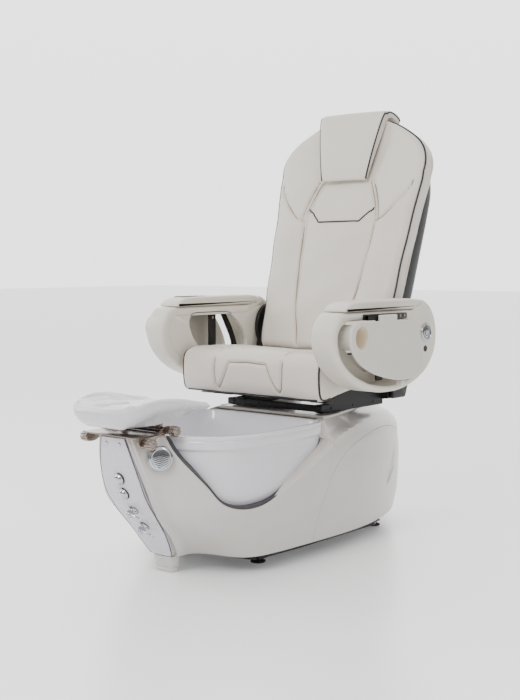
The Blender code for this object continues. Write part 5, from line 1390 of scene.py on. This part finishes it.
def make_trays():
    columns = 300
    outline = even(cornered(TRAY_OUTLINE, 0.022), columns * 4, closed=True)
    angles, unit = spokes(columns)
    inner, outer = 0.4155, 0.4285

    def ring(reach, x):
        flat = CUP_CENTRE + unit * np.broadcast_to(reach, columns)[:, None]
        return np.column_stack([np.full(columns, x), flat])

    def edge(inset, x):
        return ring(polar(inward(outline, inset), CUP_CENTRE, angles), x)

    rings = [edge(0.004, inner), edge(0.0014, inner + 0.0006), edge(0.0003, inner + 0.0018), edge(0.0, inner + 0.0036),
             edge(0.0, outer - 0.004), edge(0.0004, outer - 0.002), edge(0.0016, outer - 0.0006), edge(0.0036, outer),
             edge(0.007, outer), ring(0.04, outer), ring(0.0386, outer), ring(0.0362, outer - 0.0002),
             ring(0.0346, outer - 0.001), ring(0.034, outer - 0.0026)]
    plain = len(rings)
    rings += [ring(0.0338, outer - 0.02), ring(0.0336, 0.376), ring(0.033, 0.365), ring(0.031, 0.3622),
              ring(0.027, 0.3615), ring(0.012, 0.3613), ring(0.001, 0.3613)]
    well = len(rings)
    rings += [ring(0.001, 0.3577), ring(0.03, 0.3577), ring(0.0345, 0.3582), ring(0.0368, 0.36), ring(0.0378, 0.363),
              ring(0.0378, 0.39), ring(0.0378, inner - 0.003), ring(0.04, inner)]
    shape = Shape().grid(rings, wrap_rows=True, wrap_columns=True)
    shape.marks = [int(plain - 1 <= r < well - 1) for r in range(len(rings)) for _ in range(columns)]
    shape.block((0.416, -0.19, 0.728), (0.428, -0.1, 0.756), 0.003)
    pair("tray_skin", shape, ["tray", "cream"], "tray_{}", "tray_{}", sharp=45.0)
    tab = Shape().block((0.392, -0.052, 0.53), (0.414, -0.028, 0.546), 0.003)
    pair("tray_stop", tab, "ivory", "arm_{}")


def make_hinges():
    shape = Shape().block((ARM_OUTER + 0.0003, -0.235, 0.74), (0.412, -0.02, 0.7585), 0.0016)
    for y in (-0.06, -0.036):
        shape.turned([(0.0, -0.0005), (0.0042, -0.0005), (0.0044, 0.0008), (0.0034, 0.0018), (0.0, 0.0021)],
                     (0.412, y, 0.75), (1, 0, 0), 24, mark=1)
    for y in (-0.235, -0.2):
        shape.turned([(0.0, 0.0), (0.0062, 0.0), (0.0062, 0.025), (0.0, 0.025)], (0.406, y, 0.749), (0, 1, 0), 24)
    post = cornered([(-0.108, 0.545), (-0.073, 0.545), (-0.073, 0.738), (-0.108, 0.738)], 0.004)
    brace = cornered([(-0.046, 0.738), (-0.022, 0.738), (0.01, 0.69), (0.03, 0.65), (0.04, 0.622), (0.04, 0.575),
                      (0.016, 0.575), (0.016, 0.622), (0.003, 0.655), (-0.018, 0.69)], 0.01)
    for outline in (post, brace):
        shape.plate(outline, 0.35, 0.356, edge=0.0008)
    shape.block((0.35, -0.108, 0.736), (0.3995, -0.02, 0.7413), 0.0012)
    for y, z in ((-0.09, 0.56), (-0.09, 0.722), (0.028, 0.59)):
        shape.turned([(0.0, 0.0), (0.0055, 0.0), (0.0052, 0.0016), (0.003, 0.0022), (0.0, 0.0022)],
                     (0.35, y, z), (-1, 0, 0), 20, mark=1)
    pair("tray_hinge_skin", shape, ["black_metal", "steel"], "arm_{}", "tray_hinge_{}", sharp=35.0)


def make_arm_mounts():
    centre = (0.152, ARM_PIVOT[1] - 0.004)
    head = [(centre[0] + 0.07 * math.cos(a), centre[1] + 0.082 * math.sin(a))
            for a in np.radians(np.linspace(-40, 215, 28))]
    foot = [(0.078, 0.56), (0.072, 0.468), (0.15, 0.468), (0.184, 0.56)]
    outline = even(cornered(head + foot, 0.01), 220, closed=True)
    mount = Shape().plate(outline, 0.2868, 0.3, edge=0.0016)
    mount.turned([(0.0, 0.0), (0.03, 0.0), (0.03, 0.0035), (0.0, 0.0035)], (0.2995, *ARM_PIVOT), (1, 0, 0), 48)
    pair("arm_mount_skin", mount, "black_metal", "seat", "arm_mount_{}", sharp=35.0)


# ---------------------------------------------------------------- CAD nodes that stay, with better finishes
KEPT = {
    "black_metal": ("base_frame", "seat_frame", "back_frame", "jet_motor", "massage_carriage"),
    "black_plastic": ("drain_pipe", "jet_housing", "jet_impeller", "recline_actuator"),
    "steel": ("footrest_mount", "recline_rod", "massage_rails"),
    "chrome": ("drain_fitting", "drain_stopper"),
    "rubber": ("massage_roller_left", "massage_roller_right"),
    "brass": ("water_valve",),
}


def dress_kept_nodes():
    for name, nodes in KEPT.items():
        for node in nodes:
            for slot in NODES[node].material_slots:
                slot.material = LOOKS[name]


# ---------------------------------------------------------------- studio


def area_light(name, place, aim, size, power, colour=(1.0, 1.0, 1.0)):
    light = bpy.data.lights.new(name, "AREA")
    light.shape = "RECTANGLE"
    light.size, light.size_y = size
    light.energy = power
    light.color = colour
    thing = bpy.data.objects.new(name, light)
    thing.location = place
    thing.rotation_mode = "QUATERNION"
    thing.rotation_quaternion = (Vector(aim) - Vector(place)).to_track_quat("-Z", "Y")
    bpy.context.scene.collection.objects.link(thing)


def make_studio():
    scene = bpy.context.scene
    world = bpy.data.worlds.new("studio")
    world.use_nodes = True
    tree = world.node_tree
    backdrop = tree.nodes["Background"]
    backdrop.inputs["Color"].default_value = (1.0, 1.0, 1.0, 1.0)
    place = tree.nodes.new("ShaderNodeTexCoord")
    facing = tree.nodes.new("ShaderNodeVectorMath")
    facing.operation = "DOT_PRODUCT"
    facing.inputs[1].default_value = (-0.62, 0.75, 0.05)
    fall = tree.nodes.new("ShaderNodeMapRange")
    fall.interpolation_type = "SMOOTHSTEP"
    fall.inputs["From Min"].default_value, fall.inputs["From Max"].default_value = 0.25, 0.92
    fall.inputs["To Min"].default_value, fall.inputs["To Max"].default_value = 0.0, 2.3
    split = tree.nodes.new("ShaderNodeSeparateXYZ")
    rise = tree.nodes.new("ShaderNodeMapRange")
    rise.interpolation_type = "SMOOTHSTEP"
    rise.inputs["From Min"].default_value, rise.inputs["From Max"].default_value = 0.02, 0.75
    rise.inputs["To Min"].default_value, rise.inputs["To Max"].default_value = 0.3, 1.15
    total = tree.nodes.new("ShaderNodeMath")
    total.operation = "ADD"
    tree.links.new(place.outputs["Generated"], facing.inputs[0])
    tree.links.new(place.outputs["Generated"], split.inputs[0])
    tree.links.new(split.outputs["Z"], rise.inputs["Value"])
    tree.links.new(facing.outputs["Value"], fall.inputs["Value"])
    tree.links.new(fall.outputs["Result"], total.inputs[0])
    tree.links.new(rise.outputs["Result"], total.inputs[1])
    tree.links.new(total.outputs["Value"], backdrop.inputs["Strength"])
    scene.world = world
    floor_mesh = bpy.data.meshes.new("floor")
    floor_mesh.from_pydata([(-30, -30, 0), (30, -30, 0), (30, 30, 0), (-30, 30, 0)], [], [(0, 1, 2, 3)])
    floor = bpy.data.objects.new("floor", floor_mesh)
    scene.collection.objects.link(floor)
    material = bpy.data.materials.new("floor")
    material.use_nodes = True
    shader = material.node_tree.nodes["Principled BSDF"]
    shader.inputs["Base Color"].default_value = (0.93, 0.93, 0.93, 1.0)
    shader.inputs["Roughness"].default_value = 0.25
    shader.inputs["Emission Color"].default_value = (1.0, 1.0, 1.0, 1.0)
    shader.inputs["Emission Strength"].default_value = 0.12
    floor_mesh.materials.append(material)
    area_light("key", (0.6, -3.6, 3.6), (0.0, 0.0, 0.6), (1.6, 1.6), 120.0)
    area_light("left", (-3.4, -1.6, 2.2), (0.0, 0.0, 0.6), (1.4, 2.2), 60.0)
    area_light("right", (3.6, -0.6, 2.6), (0.0, 0.0, 0.6), (0.8, 2.4), 30.0)


def make_camera():
    yaw, pitch = math.radians(39.72), math.radians(4.34)
    data = bpy.data.cameras.new("camera")
    data.sensor_width = 36.0
    data.lens = 59.485
    camera = bpy.data.objects.new("camera", data)
    bpy.context.scene.collection.objects.link(camera)
    camera.location = Vector((2.3827, -3.1178, 0.9159)) + Vector(SHIFT)
    forward = Vector((-math.sin(yaw) * math.cos(pitch), math.cos(yaw) * math.cos(pitch), -math.sin(pitch)))
    camera.rotation_mode = "QUATERNION"
    camera.rotation_quaternion = forward.to_track_quat("-Z", "Y")
    bpy.context.scene.camera = camera


make_looks()
make_shell()
make_bowl()
make_deck()
make_panel()
make_fittings()
make_spray()
make_underside()
make_jet_cover()
make_footrest()
make_bracket()
make_rails()
make_seat()
make_back()
make_pillow()
make_back_shell()
make_arms()
make_trays()
make_hinges()
make_arm_mounts()
dress_kept_nodes()
make_studio()
make_camera()
